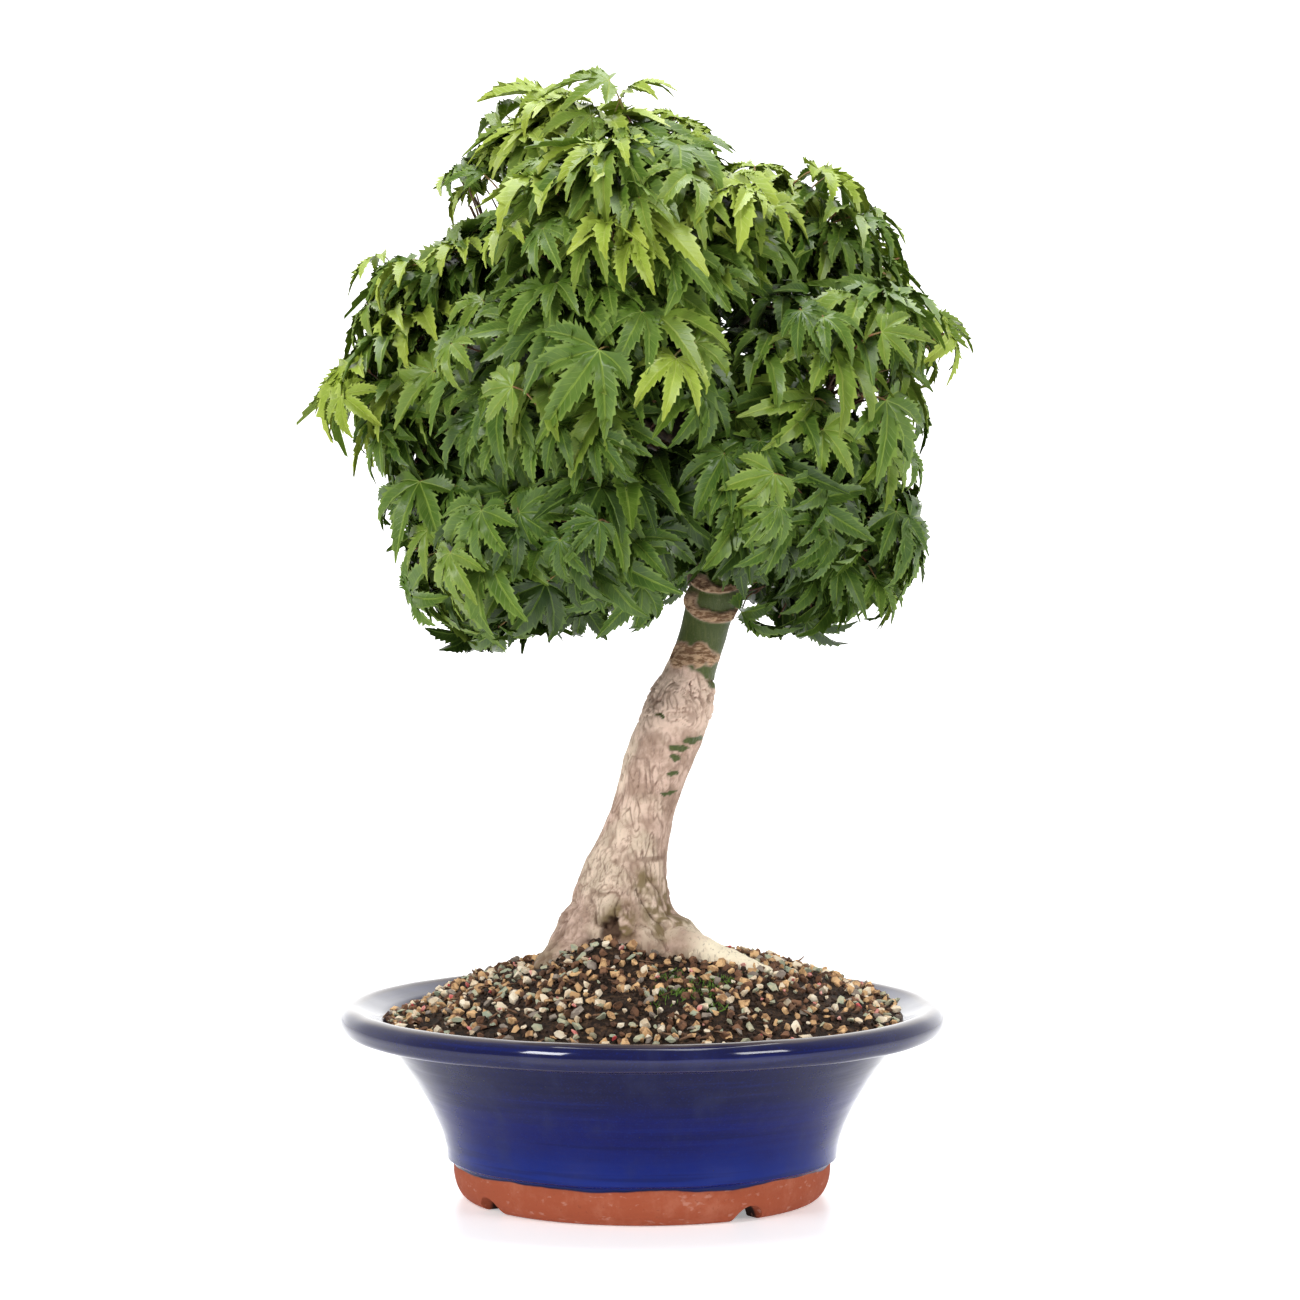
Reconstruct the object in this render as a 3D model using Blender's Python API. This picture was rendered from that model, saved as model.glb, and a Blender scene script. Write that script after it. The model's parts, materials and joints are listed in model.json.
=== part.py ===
"""A Japanese maple grown as a bonsai, in a round glazed pot that stands on an unglazed foot.

Sizes are in millimetres and are turned into metres when a mesh is made. The origin is on the surface that
the pot stands on, at the middle of the pot. +Z is up and the tree is seen from the front along +Y.
"""

import math
import random

import bmesh
import bpy
import numpy as np
from mathutils import Vector, noise
from mathutils.bvhtree import BVHTree

# ---------------------------------------------------------------- driving dimensions

MM = 0.001
GAP = 0.3  # air between two pieces that meet
LIMB_CLEARANCE = 0.6  # air between a leaf and a limb
HAIRS = (0.0001, 0.001)  # a joined mesh stays closed when points this close are merged

# Pot: a foot, a flared wall and a thick rolled lip.
POT_SEGMENTS = 36
FOOT_RADIUS = 75.0
FOOT_INNER_RADIUS = 66.0
FOOT_RECESS = 7.0
FOOT_TOP = 14.0  # the unglazed band ends here
WALL_START = (84.0, 17.0)  # radius and height where the glazed wall begins
WALL_END = (108.0, 64.5)
WALL_FLARE = 1.6
WALL_THICKNESS = 7.0
FLOOR_TOP = 12.0
LIP_CENTRE = (123.5, 76.7)
LIP_RADIUS = 6.5
LIP_INNER = (110.4, 78.1)  # where the lip's sloping top turns down into the pot
DRAIN_RADIUS = 11.0
NOTCH_COUNT = 4
NOTCH_RADIUS = 7.6
NOTCH_HEIGHT = 6.2
NOTCH_TURN = 35.0  # degrees from +X to the first notch

# Soil: a low mound inside the pot.
SOIL_EDGE = 76.0
SOIL_RISE = 28.0
SOIL_CENTRE = (6.0, 0.0)
SOIL_RINGS = 10
SOIL_LIFT = 1.0  # the coarse grit lies this much higher on the whole
SOIL_BUMP = 4.5
SOIL_BUMP_LENGTH = 13.0
SOIL_HUMP = (-16.0, -27.0, 20.0, 10.0)  # heaped against the roots: place, reach and height

# Trunk: height, place across, place front to back, and radius.
TRUNK_FOOT = 88.5
TRUNK_STATIONS = (
    (TRUNK_FOOT, -8.0, 0.0, 25.0),
    (114.5, -8.0, 0.0, 23.5),
    (130.5, -8.5, 0.5, 20.3),
    (142.5, -7.0, 1.0, 17.8),
    (154.5, -3.2, 1.0, 15.3),
    (168.5, 1.3, 0.5, 13.6),
    (187.5, 7.5, 0.0, 15.3),
    (208.5, 14.8, -0.5, 15.5),
    (216.5, 16.8, -0.5, 14.0),
    (224.5, 19.8, 0.0, 11.6),
    (235.5, 24.2, 0.5, 10.5),
    (251.5, 29.0, 1.0, 11.0),
    (258.5, 31.0, 1.5, 12.2),
    (266.5, 33.0, 2.0, 10.4),
    (280.5, 34.0, 2.5, 9.4),
    (302.5, 29.0, 3.0, 8.0),
    (337.5, 14.0, 0.0, 6.8),
    (382.5, -2.0, 1.0, 5.0),
    (406.5, -9.0, 2.0, 3.6),
)
TRUNK_SIDES = 30
TRUNK_RINGS = 21
RING_CROWDING = 1.35  # rings are closer together towards the foot
FLARE_BLEND = 7.0  # how sharply a root stands out of the trunk's round

# Surface roots: direction in degrees from +X, how far one reaches from the trunk's axis at the foot,
# half its width, and the height at which it leaves the trunk.
ROOTS = (
    (-14.0, 62.0, 10.5, 127.5),
    (196.0, 47.0, 12.0, 132.5),
    (-84.0, 36.0, 11.0, 124.5),
    (-48.0, 39.0, 8.5, 118.5),
    (238.0, 33.0, 8.0, 114.5),
    (152.0, 41.0, 9.5, 120.5),
    (98.0, 48.0, 10.5, 124.5),
    (42.0, 43.0, 9.5, 118.5),
)

# Crown: tiers of foliage masses set round the crown's middle.
# name, count, first direction, ring across, ring deep, shift across, height of the middles,
# half sizes (outwards, round, up), where the boughs leave the trunk, rise from one bough to the next
TIERS = (
    ("lower", 6, 5.0, 80.0, 78.0, 3.0, 278.5, (48.0, 56.0, 47.0), 260.5, 4.5),
    ("middle", 5, 36.0, 97.0, 87.0, 4.0, 344.5, (56.0, 68.0, 48.0), 294.5, 7.0),
    ("upper", 4, 180.0, 72.0, 74.0, -2.0, 400.5, (55.0, 64.0, 47.0), 344.5, 9.0),
    ("top", 1, 180.0, 20.0, 0.0, 0.0, 437.5, (56.0, 58.0, 50.0), 0.0, 0.0),
)
RAISED_MASS = ("lower", 5)  # this one stops short, so that the trunk shows below it
RAISED_BY = 22.0
RAISED_HALF = (44.0, 50.0, 40.0)
CROWN_MIDDLE = np.array((0.0, -2.5, 347.5))

BOUGH_SIDES = 5
BOUGH_RINGS = 4
BOUGH_ROOT_RADIUS = 4.0
BOUGH_TIP_RADIUS = 2.4
BOUGH_LENGTH = 26.0  # the least
BOUGH_ARCH = 0.16
BOUGH_STEP = 2  # neighbouring boughs leave the trunk this many rises apart
STEM_RADII = (2.3, 2.2, 1.5)
STEM_STRAIGHT = 5.0  # the stem goes on along its bough this far
STEM_REACH = 0.85  # share of the way to the middle of its mass
TWIG_STARTS = (0.34, 0.91)  # share of the stem's length at which the first and last twigs leave it
TWIG_RADII = (1.1, 1.3)  # a twig's root narrows inside the stem that it is sunk in

# Leaves: five lobes, as (degrees from the middle lobe, share of the leaf's length).
LEAF_LENGTH = 42.0
LEAF_LOBES = ((-90.0, 0.62), (-44.0, 0.88), (0.0, 1.0), (44.0, 0.88), (90.0, 0.62))
LEAF_SINUS = 0.54  # how far out the lobes part
LEAF_HEEL = 0.07
LEAF_DROOP = 0.3
LEAF_THICKNESS = 0.055
STALK_HALF_WIDTH = 0.021
STALK_LENGTHS = (7.0, 20.0)
STALK_FOOT = 0.5  # a stalk narrows to this share inside its twig
STALK_FREE = 0.35  # this share of a stalk, at its joint, may touch what it grows from
LEAST_AHEAD = 0.3  # cosine of the widest angle between a stalk and its leaf's middle lobe
LEAVES_PER_MASS = 15
TWIGS_PER_MASS = 8
TWIG_REACH = 0.62  # share of the way to the edge of the mass
TARGET_POINTS = 500
LACING = 11.0  # how far lobes may reach past a bound, between leaves of the next mass
# Where leaves leave a twig, as a share of its length, and which way: ahead, left, right or above.
LEAF_SLOTS = ((1.0, "ahead"), (0.86, "left"), (0.76, "right"), (0.5, "above"))
# How a stalk, a leaf's upper side and its middle lobe are aimed: shares of outwards, up and chance.
STALK_AIM = (0.4, 0.0, 0.6)
FACE_AIM = (0.8, 0.7, 0.45)
LOBE_AIM = (0.5, -0.35, 0.5)
FACE_WEIGHT = 0.4  # how much a leaf that faces outwards is preferred
REACH_WEIGHT = 2.0  # and one whose tips reach the edge of the mass
LEAF_SIZES = ((0.88, 1.06), (0.68, 0.88))  # a leaf that finds no room is tried again, smaller
TRIES = 200
SEED = 41
REGROWN = 6

UP = np.array((0.0, 0.0, 1.0))


# ---------------------------------------------------------------- materials


def material(name, colour, roughness):
    made = bpy.data.materials.new(name)
    made.use_nodes = True
    shader = made.node_tree.nodes["Principled BSDF"]
    shader.inputs["Base Color"].default_value = (*colour, 1.0)
    shader.inputs["Roughness"].default_value = roughness
    shader.inputs["Metallic"].default_value = 0.0
    return made


# ---------------------------------------------------------------- meshes and Booleans


def unit(vector):
    return np.asarray(vector, float) / np.linalg.norm(vector)


def mesh_object(name, points, faces, surface):
    """One object from points in millimetres, with its faces turned outwards."""
    mesh = bpy.data.meshes.new(name)
    mesh.from_pydata((np.asarray(points, float) * MM).tolist(), [], faces)
    shape = bmesh.new()
    shape.from_mesh(mesh)
    bmesh.ops.recalc_face_normals(shape, faces=shape.faces)
    shape.to_mesh(mesh)
    shape.free()
    mesh.materials.append(surface)
    made = bpy.data.objects.new(name, mesh)
    bpy.context.scene.collection.objects.link(made)
    return made


def remove(thing):
    mesh = thing.data
    bpy.data.objects.remove(thing)
    bpy.data.meshes.remove(mesh)


def keep_largest_body(mesh):
    """Drops loose scraps, and the inner skins of hollows that a union has sealed."""
    shape = bmesh.new()
    shape.from_mesh(mesh)
    bmesh.ops.triangulate(shape, faces=shape.faces)
    bodies = []
    waiting = set(shape.faces)
    while waiting:
        body = {waiting.pop()}
        border = list(body)
        while border:
            near = {f for face in border for e in face.edges if len(e.link_faces) == 2 for f in e.link_faces}
            border = list(near - body)
            body |= near
        waiting -= body
        bodies.append(body)
    bodies.sort(key=len)
    for body in bodies[:-1]:
        bmesh.ops.delete(shape, geom=list(body), context="FACES")
    shape.to_mesh(mesh)
    shape.free()


def is_sound(mesh):
    """Whether a mesh of triangles is closed, also once points a hair apart are made one."""
    points = np.array([v.co for v in mesh.vertices]) / MM
    triangles = np.array([p.vertices for p in mesh.polygons])
    for hair in HAIRS:
        _, merged = np.unique(np.round(points / hair).astype(int), axis=0, return_inverse=True)
        a, b, c = merged.reshape(-1)[triangles].T
        whole = (a != b) & (b != c) & (c != a)
        ends = np.concatenate([np.stack(pair, axis=1)[whole] for pair in ((a, b), (b, c), (c, a))])
        _, counts = np.unique(np.sort(ends, axis=1), axis=0, return_counts=True)
        if (counts != 2).any():
            return False
    return True


def apply_boolean(target, operation, others):
    """Joins or cuts the target with all the others at once, and removes them."""
    group = bpy.data.collections.new("operands")
    bpy.context.scene.collection.children.link(group)
    for other in others:
        bpy.context.scene.collection.objects.unlink(other)
        group.objects.link(other)
    modifier = target.modifiers.new("boolean", "BOOLEAN")
    modifier.operation = operation
    modifier.operand_type = "COLLECTION"
    modifier.collection = group
    graph = bpy.context.evaluated_depsgraph_get()
    made = bpy.data.meshes.new_from_object(target.evaluated_get(graph))
    target.modifiers.clear()
    before = target.data
    target.data = made
    bpy.data.meshes.remove(before)
    for other in others:
        remove(other)
    bpy.data.collections.remove(group)
    keep_largest_body(target.data)


def smooth_shaded(target):
    target.data.shade_smooth()
    target.data.set_sharp_from_angle(angle=math.radians(40.0))


def lathe(profile, segments):
    """Points and faces of a closed profile of (radius, height) turned about Z."""
    points = []
    faces = []
    count = len(profile)
    for turn in range(segments):
        angle = math.tau * turn / segments
        points += [(r * math.cos(angle), r * math.sin(angle), z) for r, z in profile]
        following = (turn + 1) % segments
        for i in range(count):
            j = (i + 1) % count
            faces.append(
                (turn * count + i, turn * count + j, following * count + j, following * count + i)
            )
    return points, faces


def sweep(path, radii, sides):
    """Points and faces of a round limb along a path, with flat ends."""
    path = [np.asarray(p, float) for p in path]
    points = []
    faces = []
    side = None
    for i, place in enumerate(path):
        ahead = unit(path[min(i + 1, len(path) - 1)] - path[max(i - 1, 0)])
        if side is None:
            side = np.cross(ahead, UP if abs(ahead[2]) < 0.9 else (1.0, 0.0, 0.0))
        side = unit(side - ahead * np.dot(side, ahead))
        other = np.cross(ahead, side)
        for k in range(sides):
            angle = math.tau * k / sides
            offset = side * math.cos(angle) + other * math.sin(angle)
            points.append(place + offset * radii[i])
    for i in range(len(path) - 1):
        for k in range(sides):
            nearby = (k + 1) % sides
            faces.append(
                (i * sides + k, i * sides + nearby, (i + 1) * sides + nearby, (i + 1) * sides + k)
            )
    faces.append(tuple(reversed(range(sides))))
    faces.append(tuple((len(path) - 1) * sides + k for k in range(sides)))
    return points, faces


def stood_off(points, faces, distance):
    """The same closed shape, with its surface moved out by a distance."""
    mesh = bpy.data.meshes.new("stood_off")
    mesh.from_pydata(np.asarray(points, float).tolist(), [], faces)
    shape = bmesh.new()
    shape.from_mesh(mesh)
    bpy.data.meshes.remove(mesh)
    bmesh.ops.recalc_face_normals(shape, faces=shape.faces)
    shape.normal_update()
    moved = [tuple(v.co + v.normal * v.calc_shell_factor() * distance) for v in shape.verts]
    shape.free()
    return moved, faces


def surface_tree(points, faces):
    return BVHTree.FromPolygons([Vector(p) for p in points], faces, epsilon=0.0)


def object_tree(thing, distance):
    """The surface of an object, moved out by a distance, for testing what touches it."""
    points = [v.co / MM for v in thing.data.vertices]
    return surface_tree(*stood_off(points, [tuple(p.vertices) for p in thing.data.polygons], distance))


# ---------------------------------------------------------------- pot and soil


def wall_radius(height):
    """Outer radius of the flared wall."""
    share = (height - WALL_START[1]) / (WALL_END[1] - WALL_START[1])
    return WALL_START[0] + (WALL_END[0] - WALL_START[0]) * max(share, 0.0) ** WALL_FLARE


def inner_profile():
    """The inside of the pot, from the lip's inner edge down to the floor."""
    lowest = FLOOR_TOP + 3.0
    heights = [lowest + (WALL_END[1] - lowest) * share for share in (1.0, 0.72, 0.42, 0.0)]
    wall = [(wall_radius(height) - WALL_THICKNESS, height) for height in heights]
    return [LIP_INNER, *wall, (wall[-1][0] - 3.0, FLOOR_TOP)]


def pot_profile():
    """The whole section of the pot's wall and floor, from the drain hole round and back."""
    foot = [
        (DRAIN_RADIUS, FOOT_RECESS),
        (FOOT_INNER_RADIUS, FOOT_RECESS),
        (FOOT_INNER_RADIUS, 0.0),
        (FOOT_RADIUS, 0.0),
        (FOOT_RADIUS + 4.0, 4.0),
        (FOOT_RADIUS + 6.0, FOOT_TOP),
        WALL_START,
    ]
    rise = WALL_END[1] - WALL_START[1]
    heights = [WALL_START[1] + rise * share for share in (0.25, 0.55, 0.8, 1.0)]
    wall = [(wall_radius(height), height) for height in heights]
    lip = []
    for degrees in (-100.0, -55.0, -10.0, 35.0, 80.0, 118.0):
        angle = math.radians(degrees)
        lip.append(
            (
                LIP_CENTRE[0] + LIP_RADIUS * math.cos(angle),
                LIP_CENTRE[1] + LIP_RADIUS * math.sin(angle),
            )
        )
    return foot + wall + lip + inner_profile() + [(DRAIN_RADIUS, FLOOR_TOP)]


def make_pot(surface):
    pot = mesh_object("pot", *lathe(pot_profile(), POT_SEGMENTS), surface)
    cutters = []
    for k in range(NOTCH_COUNT):
        angle = math.radians(NOTCH_TURN) + math.tau * k / NOTCH_COUNT
        along = np.array((math.cos(angle), math.sin(angle), 0.0))
        centre = NOTCH_HEIGHT - NOTCH_RADIUS
        path = [along * reach + UP * centre for reach in (FOOT_INNER_RADIUS - 6.0, FOOT_RADIUS + 12.0)]
        cutters.append(mesh_object("notch", *sweep(path, (NOTCH_RADIUS,) * 2, 10), surface))
    apply_boolean(pot, "DIFFERENCE", cutters)
    smooth_shaded(pot)
    return pot


def soil_height(x, y):
    """The mound's surface, with the heap at the roots and the bumps of its coarse grit."""
    reach = math.hypot(x - SOIL_CENTRE[0], y - SOIL_CENTRE[1]) / LIP_INNER[0]
    rise = SOIL_RISE * max(1.0 - reach**2.2, 0.0)
    edge = min(rise / 4.0, 1.0)
    hump_x, hump_y, hump_reach, hump_height = SOIL_HUMP
    hump = hump_height * math.exp(-((x - hump_x) ** 2 + (y - hump_y) ** 2) / hump_reach**2)
    bump = noise.noise(Vector((x, y, 3.0)) / SOIL_BUMP_LENGTH)
    return SOIL_EDGE + rise + hump + edge * (SOIL_LIFT + SOIL_BUMP * bump)


def make_soil(surface, pocket):
    """Fills the pot a gap inside its wall, and opens a pocket for the foot of the trunk."""
    inner = inner_profile()
    below = [(r - GAP - 0.1, z + GAP) for r, z in inner[1:]]
    share = (SOIL_EDGE - inner[1][1]) / (inner[0][1] - inner[1][1])
    rim = inner[1][0] + (inner[0][0] - inner[1][0]) * share - GAP - 0.1
    rings = [(rim * (i + 1) / SOIL_RINGS) for i in range(SOIL_RINGS)]
    points = [(0.0, 0.0, soil_height(0.0, 0.0))]
    for reach in rings[:-1]:
        for k in range(POT_SEGMENTS):
            angle = math.tau * k / POT_SEGMENTS
            x = reach * math.cos(angle)
            y = reach * math.sin(angle)
            points.append((x, y, soil_height(x, y)))
    for reach, height in [(rim, SOIL_EDGE), *below]:
        for k in range(POT_SEGMENTS):
            angle = math.tau * k / POT_SEGMENTS
            points.append((reach * math.cos(angle), reach * math.sin(angle), height))
    points.append((0.0, 0.0, FLOOR_TOP + GAP))
    faces = []
    loops = (len(points) - 2) // POT_SEGMENTS
    for k in range(POT_SEGMENTS):
        nearby = (k + 1) % POT_SEGMENTS
        faces.append((0, 1 + k, 1 + nearby))
        for loop in range(loops - 1):
            near = 1 + loop * POT_SEGMENTS
            far = near + POT_SEGMENTS
            faces.append((near + k, far + k, far + nearby, near + nearby))
        last = 1 + (loops - 1) * POT_SEGMENTS
        faces.append((len(points) - 1, last + nearby, last + k))
    soil = mesh_object("soil", points, faces, surface)
    apply_boolean(soil, "DIFFERENCE", [pocket])
    return soil


# ---------------------------------------------------------------- trunk


def trunk_at(height):
    """Place across, place front to back and radius at a height, on a smooth curve through the stations."""
    stations = TRUNK_STATIONS
    last = len(stations) - 2
    i = 0
    while i < last and stations[i + 1][0] < height:
        i += 1
    before, start, end, after = (
        np.array(stations[max(min(k, last + 1), 0)]) for k in (i - 1, i, i + 1, i + 2)
    )
    span = end[0] - start[0]
    t = min(max((height - start[0]) / span, 0.0), 1.0)
    leave = (end - before) / max(end[0] - before[0], 1e-6) * span
    arrive = (after - start) / max(after[0] - start[0], 1e-6) * span
    place = (
        (2 * t**3 - 3 * t**2 + 1) * start
        + (t**3 - 2 * t**2 + t) * leave
        + (3 * t**2 - 2 * t**3) * end
        + (t**3 - t**2) * arrive
    )
    return place[1:]


def root_reach(root, angle, height):
    """How far a surface root comes out at this angle and height, or nothing above it."""
    direction, far, half_width, top = root
    share = (top - height) / (top - TRUNK_FOOT)
    if share <= 0.0:
        return 0.0
    bare = trunk_at(top)[2]
    middle = bare + (far - bare) * share**1.2 - half_width
    turn = angle - math.radians(direction)
    if math.cos(turn) <= 0.0:
        return half_width
    across = abs(math.sin(turn))
    under = half_width**2 - (middle * across) ** 2
    if under >= 0.0:
        return max(middle * math.cos(turn) + math.sqrt(under), half_width)
    return half_width / across


def trunk_radius(angle, height):
    """The trunk's radius with its surface roots blended in."""
    parts = [trunk_at(height)[2]]
    parts += [root_reach(root, angle, height) for root in ROOTS]
    if height > max(root[3] for root in ROOTS):
        return parts[0]
    return sum(part**FLARE_BLEND for part in parts) ** (1.0 / FLARE_BLEND)


def trunk_mesh():
    tip = TRUNK_STATIONS[-1][0]
    points = []
    faces = []
    for ring in range(TRUNK_RINGS + 1):
        height = TRUNK_FOOT + (tip - TRUNK_FOOT) * (ring / TRUNK_RINGS) ** RING_CROWDING
        x, y, _ = trunk_at(height)
        for k in range(TRUNK_SIDES):
            angle = math.tau * k / TRUNK_SIDES
            reach = trunk_radius(angle, height)
            points.append((x + reach * math.cos(angle), y + reach * math.sin(angle), height))
    for ring in range(TRUNK_RINGS):
        for k in range(TRUNK_SIDES):
            nearby = (k + 1) % TRUNK_SIDES
            near = ring * TRUNK_SIDES
            far = near + TRUNK_SIDES
            faces += [(near + k, near + nearby, far + nearby), (near + k, far + nearby, far + k)]
    faces.append(tuple(reversed(range(TRUNK_SIDES))))
    faces.append(tuple(TRUNK_RINGS * TRUNK_SIDES + k for k in range(TRUNK_SIDES)))
    return points, faces


# ---------------------------------------------------------------- crown: masses and boughs


class Mass:
    """The space of one foliage mass: an ellipsoid, cut by flat bounds against its neighbours."""

    def __init__(self, name, centre, direction, half):
        self.name = name
        self.centre = np.array(centre)
        outwards = np.array((math.cos(direction), math.sin(direction), 0.0))
        self.axes = np.array((outwards, np.cross(UP, outwards), UP))
        self.half = np.array(half)
        self.weight = float(np.mean(self.half)) ** 2
        self.start = None  # where its stem meets its bough, and which way the stem sets off
        self.heading = None

    def level(self, points):
        """Below 1 inside the ellipsoid, 1 on it."""
        local = (np.atleast_2d(points) - self.centre) @ self.axes.T / self.half
        return np.sqrt((local**2).sum(axis=1))

    def clear_of(self, other, points, past=0.0):
        """Whether no point is further past the flat bound between the two than allowed."""
        points = np.atleast_2d(points)
        own = ((points - self.centre) ** 2).sum(axis=1) - self.weight
        its = ((points - other.centre) ** 2).sum(axis=1) - other.weight
        apart = np.linalg.norm(self.centre - other.centre)
        return bool((own - its < 2.0 * apart * past).all())


def crown_masses():
    masses = []
    for name, count, first, across, deep, shift, height, half, _, _ in TIERS:
        for k in range(count):
            direction = math.radians(first) + math.tau * k / count
            x = across * math.cos(direction) + shift
            y = deep * math.sin(direction) + CROWN_MIDDLE[1]
            label = f"foliage_{name}_{k + 1}" if count > 1 else f"foliage_{name}"
            if (name, k) == RAISED_MASS:
                masses.append(Mass(label, (x, y, height + RAISED_BY), direction, RAISED_HALF))
            else:
                masses.append(Mass(label, (x, y, height), direction, half))
    return masses


def bough_path(mass, leaves_at):
    """An arching line from the trunk's axis to where the limb enters its mass."""
    x, y, _ = trunk_at(leaves_at)
    start = np.array((x, y, leaves_at))
    towards = mass.centre - start
    length = np.linalg.norm(towards)
    shares = np.linspace(0.0, 1.0, 101)
    levels = mass.level(start + towards * shares[:, None])
    entry = max(shares[int(np.argmax(levels < 1.0))] * length, BOUGH_LENGTH + trunk_at(leaves_at)[2])
    end = start + towards / length * entry
    bend = (start + end) / 2.0 + UP * BOUGH_ARCH * entry
    path = []
    for ring in range(BOUGH_RINGS):
        t = ring / (BOUGH_RINGS - 1)
        path.append((1 - t) ** 2 * start + 2 * t * (1 - t) * bend + t**2 * end)
    return path


def make_boughs(masses, surface):
    """A tapering limb to each mass but the top one, cut clear of the trunk."""
    boughs = []
    named = {mass.name: mass for mass in masses}
    for name, count, _, _, _, _, _, _, first_height, rise in TIERS:
        if count == 1:
            continue
        for k in range(count):
            mass = named[f"foliage_{name}_{k + 1}"]
            path = bough_path(mass, first_height + rise * (BOUGH_STEP * k % count))
            radii = np.linspace(BOUGH_ROOT_RADIUS, BOUGH_TIP_RADIUS, BOUGH_RINGS)
            bough = mesh_object(f"bough_{name}_{k + 1}", *sweep(path, radii, BOUGH_SIDES), surface)
            clear_trunk = mesh_object("clear_trunk", *stood_off(*trunk_mesh(), GAP), surface)
            apply_boolean(bough, "DIFFERENCE", [clear_trunk])
            mass.heading = unit(path[-1] - path[-2])
            mass.start = path[-1] + mass.heading * GAP
            boughs.append(bough)
    return boughs


# ---------------------------------------------------------------- crown: twigs and leaves


def leaf_shape():
    """Points and faces of a leaf one unit long with the stub of its stalk.

    It is a thin lens in a five-lobed outline with drooping tips. The stalk leaves the heel as a three-sided
    tube, whose far ring is the last three points.
    """
    outline = []
    for k, (degrees, length) in enumerate(LEAF_LOBES):
        outline.append((degrees, length))
        if k + 1 < len(LEAF_LOBES):
            outline.append(((degrees + LEAF_LOBES[k + 1][0]) / 2.0, LEAF_SINUS))
    points = []
    for degrees, length in outline:
        angle = math.radians(degrees)
        points.append((length * math.cos(angle), length * math.sin(angle), -LEAF_DROOP * length**2))
    count = len(points)
    heel = [
        (-LEAF_HEEL, STALK_HALF_WIDTH, 0.0),
        (-LEAF_HEEL, -STALK_HALF_WIDTH, 0.0),
        (-LEAF_HEEL * 0.9, 0.0, -1.8 * STALK_HALF_WIDTH),
    ]
    left, right, under = range(count, count + 3)
    above, below = count + 3, count + 4
    points += heel
    points += [(0.0, 0.0, LEAF_THICKNESS / 2.0), (0.0, 0.0, -LEAF_THICKNESS / 2.0)]
    far = len(points)
    points += heel
    upper = [*range(count), left, right]
    lower = [*range(count), left, under, right]
    faces = [(above, upper[k - 1], upper[k]) for k in range(len(upper))]
    faces += [(below, lower[k], lower[k - 1]) for k in range(len(lower))]
    ring = (left, under, right)
    for k in range(3):
        faces.append((ring[k - 1], ring[k], ring[k] - count + far, ring[k - 1] - count + far))
    faces.append((far, far + 1, far + 2))
    return np.array(points), faces


LEAF_POINTS, LEAF_FACES = leaf_shape()


def placed_leaf(joint, base, forward, face, size):
    """Leaf points with the blade at a place, the middle lobe forward, and the stalk back to its joint."""
    forward = unit(forward)
    side = unit(np.cross(face, forward))
    points = LEAF_POINTS * size @ np.array((forward, side, np.cross(forward, side)))
    stalk = unit(joint - base)
    ring = points[-3:] - points[-3:].mean(axis=0)
    ring = (ring - np.outer(ring @ stalk, stalk)) * STALK_FOOT
    points += base
    points[-3:] = joint + ring
    return points


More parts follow.
